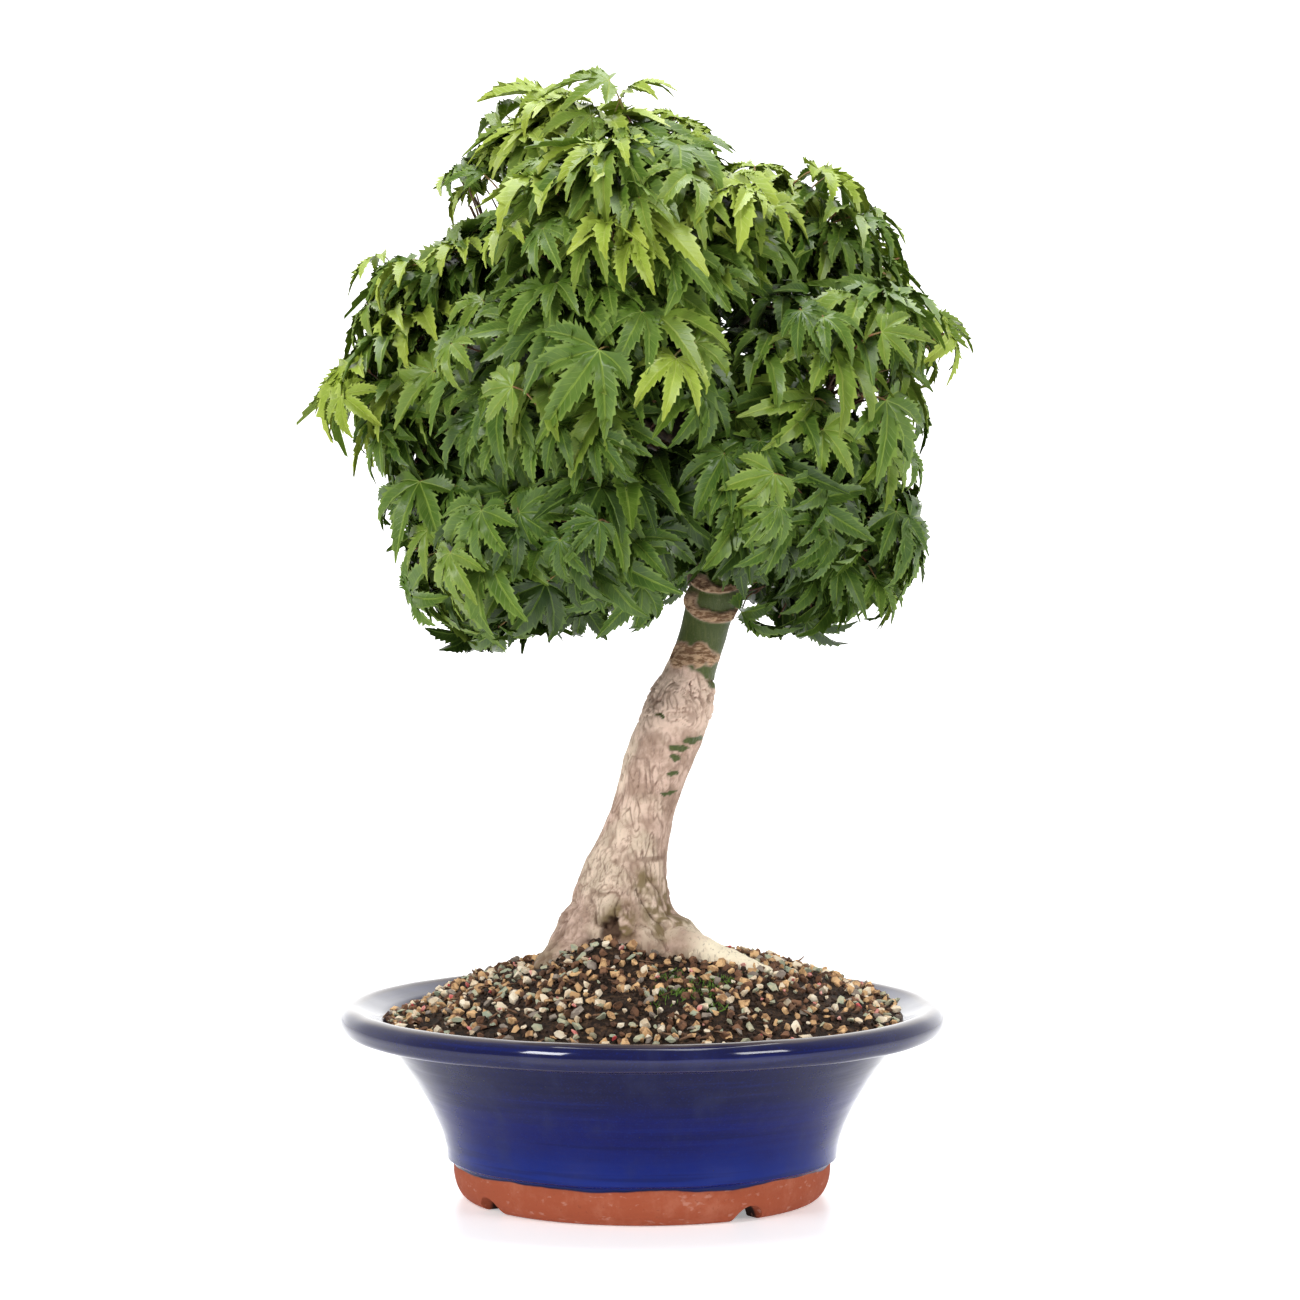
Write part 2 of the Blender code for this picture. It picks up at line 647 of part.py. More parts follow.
class Growth:
    """The twigs and leaves of one mass, grown inside its space from its stem."""

    def __init__(self, mass, others, obstacles, surface, seed):
        self.mass = mass
        self.others = others
        self.obstacles = list(obstacles)
        self.surface = surface
        self.random = random.Random(seed)
        self.pieces = []
        self.middles = []

    def jitter(self, amount):
        return np.array([self.random.uniform(-amount, amount) for _ in range(3)])

    def aimed(self, along, outwards, out, up, chance):
        """A direction mixed from one given, the way out of the crown, the way up, and chance."""
        return unit(along + outwards * out + UP * up + self.jitter(chance))

    def fits(self, points, past=0.0):
        """Inside the ellipsoid, and on the right side of every bound."""
        if (self.mass.level(points) > 1.0).any():
            return False
        return all(self.mass.clear_of(other, points, past) for other in self.others)

    def add(self, name, points, faces):
        self.pieces.append(mesh_object(name, points, faces, self.surface))

    def add_twig(self, path, radii):
        """A three-sided twig, which leaves then keep clear of but where they join it."""
        shape = sweep(path, radii, 3)
        self.add("twig", *shape)
        self.obstacles.append(surface_tree(*shape))

    def targets(self):
        """Points spread evenly over the side of the mass's own space that faces out of the crown."""
        directions = np.array([unit(self.jitter(1.0)) for _ in range(TARGET_POINTS)])
        points = self.mass.centre + directions * self.mass.half @ self.mass.axes * 0.98
        least = np.linalg.norm(self.mass.centre - CROWN_MIDDLE)
        points = [p for p in points if self.fits(p) and np.linalg.norm(p - CROWN_MIDDLE) > least]
        chosen = [max(points, key=lambda p: np.linalg.norm(p - CROWN_MIDDLE))]
        while len(chosen) < TWIGS_PER_MASS:
            chosen.append(max(points, key=lambda p: min(np.linalg.norm(p - c) for c in chosen)))
        return chosen

    def leaf(self, joint, spread, sizes):
        """Grows the best of many tries at a leaf on a stalk from this joint, and tells whether one fits."""
        best = None
        outwards = unit(joint - CROWN_MIDDLE)
        for _ in range(TRIES):
            stalk = self.aimed(spread, outwards, *STALK_AIM)
            base = joint + stalk * self.random.uniform(*STALK_LENGTHS)
            face = self.aimed(0.0, outwards, *FACE_AIM)
            forward = self.aimed(stalk, outwards, *LOBE_AIM)
            forward = unit(forward - face * np.dot(forward, face))
            if np.dot(forward, stalk) < LEAST_AHEAD:
                continue
            size = LEAF_LENGTH * self.random.uniform(*sizes)
            points = placed_leaf(joint, base, forward, face, size)
            blade = points[:-3]
            if not self.fits(blade, LACING):
                continue
            middle = blade.mean(axis=0)
            room = min([np.linalg.norm(middle - other) for other in self.middles] + [LEAF_LENGTH])
            reach = self.mass.level(blade).max()
            score = reach * REACH_WEIGHT + room / LEAF_LENGTH + np.dot(face, outwards) * FACE_WEIGHT
            if best and score <= best[0]:
                continue
            off_its_twig = points.copy()
            off_its_twig[-3:] += (base - joint) * STALK_FREE
            clear = surface_tree(off_its_twig, LEAF_FACES)
            if any(clear.overlap(obstacle) for obstacle in self.obstacles):
                continue
            best = (score, points, clear, middle)
        if not best:
            return False
        self.add("leaf", best[1], LEAF_FACES)
        self.obstacles.append(best[2])
        self.middles.append(best[3])
        return True

    def grow(self):
        """A stem, twigs that leave it for the outer side of the mass, and leaves along each twig."""
        mass = self.mass
        heart = mass.start + (mass.centre - mass.start) * STEM_REACH
        first = mass.start + mass.heading * STEM_STRAIGHT
        stem = mesh_object(
            mass.name,
            *sweep((mass.start, first, heart), STEM_RADII, 3),
            self.surface,
        )
        twigs = []
        for share, target in zip(np.linspace(*TWIG_STARTS, TWIGS_PER_MASS), self.targets()):
            start = first + (heart - first) * share
            end = start + (target - start) * TWIG_REACH
            self.add_twig((start, end), TWIG_RADII)
            twigs.append((start, end, unit(end - start)))
        grown = 0
        waiting = [(share, way, twig) for share, way in LEAF_SLOTS for twig in twigs]
        for sizes in LEAF_SIZES:
            again = []
            for share, way, (start, end, direction) in waiting:
                if grown == LEAVES_PER_MASS:
                    break
                across = unit(np.cross(direction, UP + self.jitter(0.3)))
                spread = {
                    "ahead": direction,
                    "left": across,
                    "right": -across,
                    "above": np.cross(across, direction),
                }[way]
                joint = start + (end - start) * share - direction * 0.8
                if self.leaf(joint, spread, sizes):
                    grown += 1
                else:
                    again.append((share, way, (start, end, direction)))
            waiting = again
        apply_boolean(stem, "UNION", self.pieces)
        return stem, grown


def make_foliage(mass, others, obstacles, surface, seed):
    """One foliage mass, grown again from another seed where its union isn't sound."""
    for again in range(REGROWN):
        made, leaves = Growth(mass, others, obstacles, surface, seed + again * SEED).grow()
        if is_sound(made.data):
            break
        remove(made)
    obstacles.append(object_tree(made, GAP))
    print(f"{mass.name}: {leaves} leaves, {len(made.data.polygons)} faces, try {again + 1}")
    return made


# ---------------------------------------------------------------- the whole plant


def main():
    for thing in list(bpy.data.objects):
        bpy.data.objects.remove(thing)
    glaze = material("blue_glaze", (0.012, 0.025, 0.21), 0.12)
    earth = material("potting_grit", (0.09, 0.055, 0.035), 0.95)
    bark = material("pale_bark", (0.42, 0.33, 0.24), 0.8)
    young_bark = material("young_bark", (0.16, 0.09, 0.05), 0.7)
    leaf_green = material("leaf_green", (0.06, 0.19, 0.03), 0.45)

    make_pot(glaze)
    trunk = mesh_object("trunk", *trunk_mesh(), bark)
    smooth_shaded(trunk)
    pocket = mesh_object("pocket", *stood_off(*trunk_mesh(), GAP), bark)
    make_soil(earth, pocket)

    masses = crown_masses()
    boughs = make_boughs(masses, young_bark)
    top = masses[-1]
    x, y, _ = trunk_at(TRUNK_STATIONS[-1][0])
    top.start = np.array((x, y, TRUNK_STATIONS[-1][0] + GAP))
    top.heading = UP

    obstacles = [object_tree(limb, LIMB_CLEARANCE) for limb in (trunk, *boughs)]
    for k, mass in enumerate(masses):
        others = [other for other in masses if other is not mass]
        make_foliage(mass, others, obstacles, leaf_green, SEED + k)


main()
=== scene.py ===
# %% [markdown]
# # A potted Japanese maple, dressed
#
# This lesson gives a small bonsai its looks: a glazed pot, gritty soil, a trunk with real bark and a crown
# of toothed leaves. The solids come ready made from the CAD step and are only a frame here. Each piece below
# says what it is on the real plant, how it could be made, and why it is made the way it is.
#
# Sizes are in millimetres in this file and become metres when a mesh is made. +Z is up, the front of the
# plant faces -Y, and the origin is under the middle of the pot.

import itertools
import json
import math
import random

import bmesh
import bpy
import numpy as np
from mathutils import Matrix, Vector

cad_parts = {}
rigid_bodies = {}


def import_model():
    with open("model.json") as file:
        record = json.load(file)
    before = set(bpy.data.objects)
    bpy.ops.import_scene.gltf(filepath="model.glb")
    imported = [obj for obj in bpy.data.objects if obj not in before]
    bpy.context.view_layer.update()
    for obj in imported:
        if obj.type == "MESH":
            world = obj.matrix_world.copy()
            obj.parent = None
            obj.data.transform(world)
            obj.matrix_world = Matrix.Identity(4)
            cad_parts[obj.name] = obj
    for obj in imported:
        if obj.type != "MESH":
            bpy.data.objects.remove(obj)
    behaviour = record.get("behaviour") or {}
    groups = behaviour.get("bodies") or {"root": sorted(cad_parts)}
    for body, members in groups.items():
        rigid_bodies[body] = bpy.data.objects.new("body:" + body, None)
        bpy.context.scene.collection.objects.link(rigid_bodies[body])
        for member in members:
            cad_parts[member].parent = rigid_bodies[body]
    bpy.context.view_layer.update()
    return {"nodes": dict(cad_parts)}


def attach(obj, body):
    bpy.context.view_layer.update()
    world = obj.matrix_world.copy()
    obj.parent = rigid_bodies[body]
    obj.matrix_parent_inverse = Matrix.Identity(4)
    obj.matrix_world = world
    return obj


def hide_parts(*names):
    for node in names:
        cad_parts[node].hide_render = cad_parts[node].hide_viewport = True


MM = 0.001
UP = np.array((0.0, 0.0, 1.0))

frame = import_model()
print("nodes in the frame:", len(frame["nodes"]))

# %% [markdown]
# ## Helpers for node trees
#
# A Blender material or a Geometry Nodes tree is a graph. Clicking one together is quick, but in a script the
# many small Math nodes hide what is meant. So one small class wraps a socket and lets Python's own signs add
# the Math nodes: `1 - mask * 0.5` reads as what it does. A second class has one method that adds any other
# node from its type, its settings and what goes into its sockets.

# %% Sockets that can be added and multiplied


class Wire:
    """An output socket. Arithmetic on it adds Math nodes to its tree."""

    def __init__(self, nodes, socket):
        self.nodes = nodes
        self.socket = socket

    def other(self, name):
        """Another output of the same node."""
        return Wire(self.nodes, self.socket.node.outputs[name])

    def __add__(self, value):
        return self.nodes.maths("ADD", self, value)

    def __radd__(self, value):
        return self.nodes.maths("ADD", value, self)

    def __sub__(self, value):
        return self.nodes.maths("SUBTRACT", self, value)

    def __rsub__(self, value):
        return self.nodes.maths("SUBTRACT", value, self)

    def __mul__(self, value):
        return self.nodes.maths("MULTIPLY", self, value)

    def __rmul__(self, value):
        return self.nodes.maths("MULTIPLY", value, self)


class Nodes:
    """A node tree, and the few ways in which nodes are added to it."""

    def __init__(self, tree):
        self.tree = tree

    def add(self, kind, settings=None, sockets=None, output=0):
        """Adds a node: its settings are set first, then its sockets get a value or a wire each."""
        node = self.tree.nodes.new(kind)
        for name, value in (settings or {}).items():
            setattr(node, name, value)
        for name, value in (sockets or {}).items():
            if isinstance(value, Wire):
                self.tree.links.new(value.socket, node.inputs[name])
            else:
                node.inputs[name].default_value = value
        return Wire(self, node.outputs[output]) if node.outputs else node

    def maths(self, operation, first, second=0.0):
        return self.add("ShaderNodeMath", {"operation": operation}, {0: first, 1: second})

    def vector(self, operation, first, second):
        """A Vector Math node; for SCALE the second value is the number to scale by."""
        slot = "Scale" if operation == "SCALE" else 1
        return self.add("ShaderNodeVectorMath", {"operation": operation}, {0: first, slot: second})

    def axis(self, place, name):
        """One of the three numbers of a place: X, Y or Z."""
        return self.add("ShaderNodeSeparateXYZ", None, {0: place}, output=name)

    def level(self, place):
        """A place with its height taken away."""
        return self.vector("MULTIPLY", place, (1.0, 1.0, 0.0))

    def length(self, vector):
        return self.add("ShaderNodeVectorMath", {"operation": "LENGTH"}, {0: vector}, output="Value")

    def step(self, value, low, high):
        """0 below low, 1 above high, and smooth between. With low above high it falls instead."""
        if low > high:
            return 1.0 - self.step(value, high, low)
        settings = {"interpolation_type": "SMOOTHSTEP"}
        return self.add("ShaderNodeMapRange", settings, {"Value": value, "From Min": low, "From Max": high})

    def mix(self, mask, under, over):
        """Colour under, covered by colour over where the mask is 1."""
        under, over = (c if isinstance(c, Wire) else (*c, 1.0) for c in (under, over))
        return self.add("ShaderNodeMix", {"data_type": "RGBA"}, {0: mask, 6: under, 7: over}, output=2)

    def layers(self, colour, *covers):
        """A colour with others laid over it in turn, each given as its mask and the colour."""
        for mask, over in covers:
            colour = self.mix(mask, colour, over)
        return colour

    def place(self, stretch=(1.0, 1.0, 1.0)):
        """The place on the object in millimetres, stretched or squeezed along each axis."""
        coordinates = self.add("ShaderNodeTexCoord", output="Object")
        factor = tuple(s / MM for s in stretch)
        return self.vector("MULTIPLY", coordinates, factor)

    def noise(self, place, size, detail=3.0, roughness=0.55):
        """Cloudy noise from 0 to 1, with lumps of about this size in millimetres."""
        sockets = {"Vector": place, "Scale": 1.0 / size, "Detail": detail, "Roughness": roughness}
        return self.add("ShaderNodeTexNoise", None, sockets)

    def cells(self, place, size):
        """Distance to the nearest of scattered points, which are about this far apart."""
        sockets = {"Vector": place, "Scale": 1.0 / size}
        return self.add("ShaderNodeTexVoronoi", None, sockets, output="Distance")

    def stored(self, name):
        """A number that is stored on the mesh's points under this name."""
        return self.add("ShaderNodeAttribute", {"attribute_name": name}, output="Fac")

    def bump(self, height, depth):
        """A Normal input from a height of 0 to 1, for a relief this deep in millimetres."""
        return self.add("ShaderNodeBump", None, {"Height": height, "Distance": depth * MM, "Strength": 1.0})


def finish(name, sockets, recipe=None):
    """A material: plain values for the shader's sockets, and a recipe that gives wires for some of them."""
    made = bpy.data.materials.new(name)
    made.use_nodes = True
    shader = made.node_tree.nodes["Principled BSDF"]
    for socket, value in sockets.items():
        shader.inputs[socket].default_value = value
    wires = recipe(Nodes(made.node_tree)) if recipe else {}
    for socket, wire in wires.items():
        made.node_tree.links.new(wire.socket, shader.inputs[socket])
    return made


# %% [markdown]
# ## Helpers for meshes
#
# Most pieces start as arrays of points and faces. The fine relief of bark and soil needs noise at tens of
# thousands of points. Blender's own noise takes one point a call, so a short value noise on whole arrays is
# written here: random heights on a lattice of cubes, blended smoothly between the corners.

# %% Noise on whole arrays of points


def lattice(corner, seed):
    """A repeatable random number from 0 to 1 for each whole-numbered corner."""
    x, y, z = (corner[..., i].astype(np.int64) for i in range(3))
    mixed = (x * 374761393 + y * 668265263 + z * 2147483629 + seed * 974634777) & 0xFFFFFFFF
    mixed = ((mixed ^ (mixed >> 13)) * 1274126177) & 0xFFFFFFFF
    return ((mixed ^ (mixed >> 16)) & 0xFFFF) / 65535.0


def clouds(points, size, seed=0, octaves=1):
    """Smooth noise from -1 to 1 at each point, with lumps of this size; each octave adds finer ones."""
    points = np.asarray(points, float)
    total = np.zeros(points.shape[:-1])
    weight = 1.0
    for octave in range(octaves):
        place = points / (size / 2.0**octave) + 100.0
        corner = np.floor(place)
        part = place - corner
        part = part * part * (3.0 - 2.0 * part)
        value = 0.0
        for steps in itertools.product((0, 1), repeat=3):
            share = np.ones(points.shape[:-1])
            for axis, step in enumerate(steps):
                share = share * (part[..., axis] if step else 1.0 - part[..., axis])
            value = value + share * lattice(corner + steps, seed + octave)
        total += (value * 2.0 - 1.0) * weight
        weight *= 0.5
    return total / (2.0 - 2.0 * weight)


def unit(vector):
    vector = np.asarray(vector, float)
    return vector / np.linalg.norm(vector, axis=-1, keepdims=True)


def smooth_step(value, low, high):
    """0 below low and 1 above high, smooth between; low may be above high."""
    share = np.clip((np.asarray(value, float) - low) / (high - low), 0.0, 1.0)
    return share * share * (3.0 - 2.0 * share)


# %% Mesh objects from arrays


def curve(points, steps):
    """A smooth curve through a few points, as this many points a stretch."""
    points = np.asarray(points, float)
    ends = np.vstack([2 * points[0] - points[1], points, 2 * points[-1] - points[-2]])
    made = []
    for i in range(1, len(ends) - 2):
        before, start, end, after = ends[i - 1 : i + 3]
        slope, bow = end - before, 2 * before - 5 * start + 4 * end - after
        turn = 3 * start - before - 3 * end + after
        t = np.arange(steps)[:, None] / steps
        made.append(0.5 * (2 * start + slope * t + bow * t**2 + turn * t**3))
    return np.vstack([*made, points[-1:]])


def mesh_of(name, points, faces=(), attributes=None, edges=()):
    """A mesh from points in millimetres, with a number for each point under each attribute's name."""
    mesh = bpy.data.meshes.new(name)
    mesh.from_pydata((np.asarray(points, float) * MM).tolist(), edges, faces)
    for title, values in (attributes or {}).items():
        values = np.asarray(values, np.float32)
        kind, field = ("FLOAT_VECTOR", "vector") if values.ndim == 2 else ("FLOAT", "value")
        attribute = mesh.attributes.new(title, kind, "POINT")
        attribute.data.foreach_set(field, values.ravel())
    return mesh


def ring_faces(rings, turns):
    """Faces between rings of points that lie one after another, with a cap on the first and the last."""
    first = np.arange(rings - 1)[:, None] * turns + np.arange(turns)
    nearby = np.arange(rings - 1)[:, None] * turns + (np.arange(turns) + 1) % turns
    faces = np.stack([first, nearby, nearby + turns, first + turns], axis=-1).reshape(-1, 4).tolist()
    faces.append(list(reversed(range(turns))))
    faces.append(list(range((rings - 1) * turns, rings * turns)))
    return faces


def put(name, data):
    """An object with this mesh, lamp or camera, in the scene."""
    made = bpy.data.objects.new(name, data)
    bpy.context.scene.collection.objects.link(made)
    return made


def piece(name, mesh, surface, replaced=(), outwards=False):
    """A finished piece at the origin. It rides on the plant's one body and may stand for CAD nodes."""
    if outwards:
        shape = bmesh.new()
        shape.from_mesh(mesh)
        bmesh.ops.recalc_face_normals(shape, faces=shape.faces)
        shape.to_mesh(mesh)
        shape.free()
    mesh.materials.clear()
    mesh.materials.append(surface)
    made = put(name, mesh)
    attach(made, "root")
    if replaced:
        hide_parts(*replaced)
    mesh.calc_loop_triangles()
    print(f"{name}: {len(mesh.loop_triangles)} triangles")
    return made


def smooth_shaded(mesh, degrees):
    """Smooth shading, but an edge that bends more than this stays sharp."""
    mesh.shade_smooth()
    mesh.set_sharp_from_angle(angle=math.radians(degrees))
    return mesh


# %% [markdown]
# ## Helpers for Geometry Nodes
#
# A Geometry Nodes tree is a recipe with named inputs. A modifier runs it on an object, and the result is
# read back as a plain mesh, so the modifier can go. An input is set by its socket's identifier, because two
# inputs may share a name but never an identifier.

# %% Build a tree, run it, and read the mesh back


class Recipe:
    """A Geometry Nodes tree under construction."""

    SOCKETS = {
        "geometry": "NodeSocketGeometry",
        "number": "NodeSocketFloat",
        "whole": "NodeSocketInt",
        "collection": "NodeSocketCollection",
        "material": "NodeSocketMaterial",
    }

    def __init__(self, name, inputs):
        self.tree = bpy.data.node_groups.new(name, "GeometryNodeTree")
        self.identifiers = {}
        for title, kind in {"Geometry": "geometry", **inputs}.items():
            socket = self.tree.interface.new_socket(title, in_out="INPUT", socket_type=self.SOCKETS[kind])
            self.identifiers[title] = socket.identifier
        self.tree.interface.new_socket("Geometry", in_out="OUTPUT", socket_type=self.SOCKETS["geometry"])
        self.nodes = Nodes(self.tree)
        self.group = self.nodes.add("NodeGroupInput")

    def input(self, title):
        return self.group.other(title)

    def attribute(self, name, kind="FLOAT"):
        """A value stored on the points under this name."""
        return self.nodes.add("GeometryNodeInputNamedAttribute", {"data_type": kind}, {"Name": name})

    def shapes_on(self, points, pattern, rotation, size):
        """One of the shapes on each point: which one, how it is turned, and its size."""
        shapes = {"Collection": self.input("Shapes"), "Separate Children": True, "Reset Children": True}
        sockets = {
            "Points": points,
            "Instance": self.nodes.add("GeometryNodeCollectionInfo", None, shapes),
            "Pick Instance": True,
            "Instance Index": pattern,
            "Rotation": rotation,
            "Scale": self.nodes.vector("SCALE", (1.0, 1.0, 1.0), size),
        }
        return self.nodes.add("GeometryNodeInstanceOnPoints", None, sockets)

    def real(self, geometry):
        """Instances made into a mesh of their own."""
        return self.nodes.add("GeometryNodeRealizeInstances", None, {"Geometry": geometry})

    def close(self, geometry):
        """The tree's last nodes: realise what is still an instance, and give it its material."""
        sockets = {"Geometry": self.real(geometry), "Material": self.input("Material")}
        done = self.nodes.add("GeometryNodeSetMaterial", None, sockets)
        end = self.nodes.add("NodeGroupOutput")
        self.tree.links.new(done.socket, end.inputs[0])

    def run(self, mesh, values):
        """The mesh that the tree makes from this one."""
        helper = put("helper", mesh)
        modifier = helper.modifiers.new("recipe", "NODES")
        modifier.node_group = self.tree
        for title, value in values.items():
            modifier[self.identifiers[title]] = value
        graph = bpy.context.evaluated_depsgraph_get()
        made = bpy.data.meshes.new_from_object(helper.evaluated_get(graph))
        helper.modifiers.remove(modifier)
        bpy.data.objects.remove(helper)
        return made


def clear_away(shapes):
    """Removes a collection of shapes once they have been scattered."""
    for shape in list(shapes.objects):
        bpy.data.objects.remove(shape)
    bpy.data.collections.remove(shapes)


# %% [markdown]
# ## The camera, the light and the floor
#
# The plant stands on a white table in front of a white wall, under large soft lamps. A long lens at the
# height of the crown looks slightly down, so the pot's mouth shows as a narrow ellipse. The world gives
# light from all sides, as a light tent does. Two area lamps beside the camera model the leaves and put the
# bright windows on the pot's lip, and a third lights the crown from above.

# %% Camera, lamps, world and floor
CAMERA_PLACE = (3.4, -1900.0, 337.5)
CAMERA_AIM = (3.4, 0.0, 234.4)
SEEN_WIDTH = 555.1  # what the frame covers at the middle of the plant
SENSOR = 36.0
ROOM_FRONT = 0.29  # the room is darker on the camera's side than at the white wall
ROOM_SIDE = 1.1
ROOM_BACK = 1.9
FLOOR_GLOW = 0.33  # a lit table, which softens the shadow under the pot
FLOOR_WHITE = (0.93, 0.93, 0.94)
FLOOR_HALF = 4000.0
WHITE = (1.0, 1.0, 1.0, 1.0)

# name, place, aim, width, height, watts
LAMPS = (
    ("lamp_left", (-900.0, -1110.0, 950.0), (0.0, 0.0, 250.0), 420.0, 420.0, 15.5),
    ("lamp_right", (1150.0, -1030.0, 900.0), (0.0, 0.0, 250.0), 560.0, 400.0, 12.5),
    ("lamp_above", (60.0, 160.0, 1500.0), (0.0, 0.0, 300.0), 900.0, 900.0, 20.0),
)


def set_up(made, place, aim):
    """Stands the camera or a lamp at a place, turned to its aim."""
    made.location = Vector(place) * MM
    made.rotation_euler = (Vector(aim) - Vector(place)).to_track_quat("-Z", "Y").to_euler()


def make_camera():
    data = bpy.data.cameras.new("camera")
    distance = math.dist(CAMERA_PLACE, CAMERA_AIM)
    data.sensor_width = SENSOR
    data.lens = SENSOR * distance / SEEN_WIDTH
    camera = put("camera", data)
    set_up(camera, CAMERA_PLACE, CAMERA_AIM)
    bpy.context.scene.camera = camera
    print(f"lens {data.lens:.1f} mm")


def make_lamps():
    for name, place, aim, width, height, watts in LAMPS:
        data = bpy.data.lights.new(name, "AREA")
        data.shape = "RECTANGLE"
        data.size = width * MM
        data.size_y = height * MM
        data.energy = watts
        set_up(put(name, data), place, aim)


def make_room():
    world = bpy.data.worlds.new("white_room")
    world.use_nodes = True
    nodes = Nodes(world.node_tree)
    towards = nodes.add("ShaderNodeTexCoord", output="Generated")
    back = nodes.axis(towards, "Y")
    strength = ROOM_FRONT + nodes.step(back, -0.5, 0.6) * (ROOM_SIDE - ROOM_FRONT)
    strength = strength + nodes.step(back, 0.6, 0.97) * (ROOM_BACK - ROOM_SIDE)
    background = world.node_tree.nodes["Background"]
    background.inputs["Color"].default_value = WHITE
    world.node_tree.links.new(strength.socket, background.inputs["Strength"])
    bpy.context.scene.world = world
    bpy.context.scene.view_settings.view_transform = "Standard"


def make_floor():
    corners = [(x * FLOOR_HALF, y * FLOOR_HALF, 0.0) for x, y in ((-1, -1), (1, -1), (1, 1), (-1, 1))]
    glow = {"Emission Color": WHITE, "Emission Strength": FLOOR_GLOW}
    mesh = mesh_of("floor", corners, [(0, 1, 2, 3)])
    white = finish("floor_white", {"Base Color": (*FLOOR_WHITE, 1.0), "Roughness": 0.35, **glow})
    mesh.materials.append(white)
    put("floor", mesh)


make_camera()
make_lamps()
make_room()
make_floor()

# %% [markdown]
# ## The pot
#
# The pot is thrown on a wheel, so its shape is one outline turned about an upright axis. A Screw or Spin
# would turn it too. Geometry Nodes are used here because the whole pot follows a rule: sweep the outline
# round a circle, let the glaze stand proud and ripple, and cut four arches out of the foot. The outline's
# sizes are those of the frame's plain pot, with the corners rounded and far more points.

# %% The pot's outline
FOOT_RADIUS = 75.0
FOOT_INNER_RADIUS = 66.0
FOOT_RECESS = 7.0
FOOT_EDGE = (78.6, 3.8)  # here the foot's rounded edge ends
FOOT_WAIST = (80.9, 8.0)
FOOT_SHOULDER = (80.8, 13.6)
GROOVE = (82.6, 16.6)
WALL_FOOT = (84.4, 18.2)
DRAIN_RADIUS = 11.0
FLOOR_TOP = 12.0
WALL_START = (84.0, 17.0)
WALL_END = (108.0, 64.5)
WALL_TOP = 68.0  # the wall goes on under the overhanging lip
WALL_FLARE = 1.6
WALL_THICKNESS = 7.0
LIP_CENTRE = (123.5, 76.7)
LIP_RADIUS = 6.5
LIP_FACE = (112.2, 79.0)
LIP_INNER = (110.4, 78.1)
LIP_NECK = (109.2, 75.9)
NOTCH_RADIUS = 7.4
NOTCH_CENTRE = -0.4
NOTCH_TURN = 35.0
NOTCHES = 4
TURNING_RADIUS = 90.0  # any circle inside the wall: the outline is measured from it


def wall_radius(height):
    share = (height - WALL_START[1]) / (WALL_END[1] - WALL_START[1])
    return WALL_START[0] + (WALL_END[0] - WALL_START[0]) * max(share, 0.0) ** WALL_FLARE


def bend(start, corner, end, steps):
    """Points along a curve that leaves start towards corner and arrives at end, without its last point."""
    shares = np.arange(steps) / steps
    return [
        tuple((1 - t) ** 2 * np.array(start) + 2 * t * (1 - t) * np.array(corner) + t * t * np.array(end))
        for t in shares
    ]


def run(start, end, longest=1.2):
    """Points along a straight stretch, without its last point."""
    steps = max(int(math.ceil(math.dist(start, end) / longest)), 1)
    return [tuple(np.array(start) + (np.array(end) - start) * k / steps) for k in range(steps)]


# %% The foot, and the whole outline


def foot_outline():
    """Radius and height from the drain hole, under the foot and up to where the wall starts."""
    inner, outer = FOOT_INNER_RADIUS, FOOT_RADIUS
    made = run((DRAIN_RADIUS, FOOT_RECESS), (inner - 2.0, FOOT_RECESS), 9.0)
    made += bend((inner - 2.0, FOOT_RECESS), (inner, FOOT_RECESS), (inner, 5.0), 3)
    made += run((inner, 5.0), (inner, 1.2)) + bend((inner, 1.2), (inner, 0.0), (inner + 1.4, 0.0), 3)
    made += run((inner + 1.4, 0.0), (outer - 1.5, 0.0), 2.0)
    made += bend((outer - 1.5, 0.0), (outer + 1.6, 0.2), FOOT_EDGE, 5)
    made += bend(FOOT_EDGE, FOOT_WAIST, FOOT_SHOULDER, 14)
    made += bend(FOOT_SHOULDER, (80.9, 16.2), GROOVE, 5)
    return made + bend(GROOVE, (WALL_FOOT[0], 17.0), WALL_FOOT, 4)


def pot_outline():
    """The whole outline: the foot, up the wall, over the lip, down inside and back to the drain hole."""
    outline = foot_outline()
    for z in np.linspace(WALL_FOOT[1], WALL_TOP, 46)[:-1]:
        outline.append((wall_radius(z) + 0.2 * math.exp(-((z - WALL_FOOT[1]) / 3.0) ** 2), z))
    lip = []
    for angle in np.radians(np.linspace(-100.0, 118.0, 30)):
        across = LIP_CENTRE[0] + LIP_RADIUS * math.cos(angle)
        lip.append((across, LIP_CENTRE[1] + LIP_RADIUS * math.sin(angle)))
    wall_top = (wall_radius(WALL_TOP), WALL_TOP)
    under_lip = (wall_top[0] + 3.0, 70.0)
    outline += bend(wall_top, (wall_top[0] + 0.8, 69.7), under_lip, 4)
    outline += run(under_lip, lip[0]) + lip[:-1]
    outline += run(lip[-1], LIP_FACE) + bend(LIP_FACE, LIP_INNER, LIP_NECK, 5)
    heights = np.linspace(WALL_END[1], FLOOR_TOP + 3.0, 12)
    inside = [(wall_radius(z) - WALL_THICKNESS, z) for z in heights]
    outline += run(LIP_NECK, inside[0], 2.5) + inside
    drain = (DRAIN_RADIUS, FLOOR_TOP)
    return outline + run((inside[-1][0] - 3.0, FLOOR_TOP), drain, 9.0) + [drain]


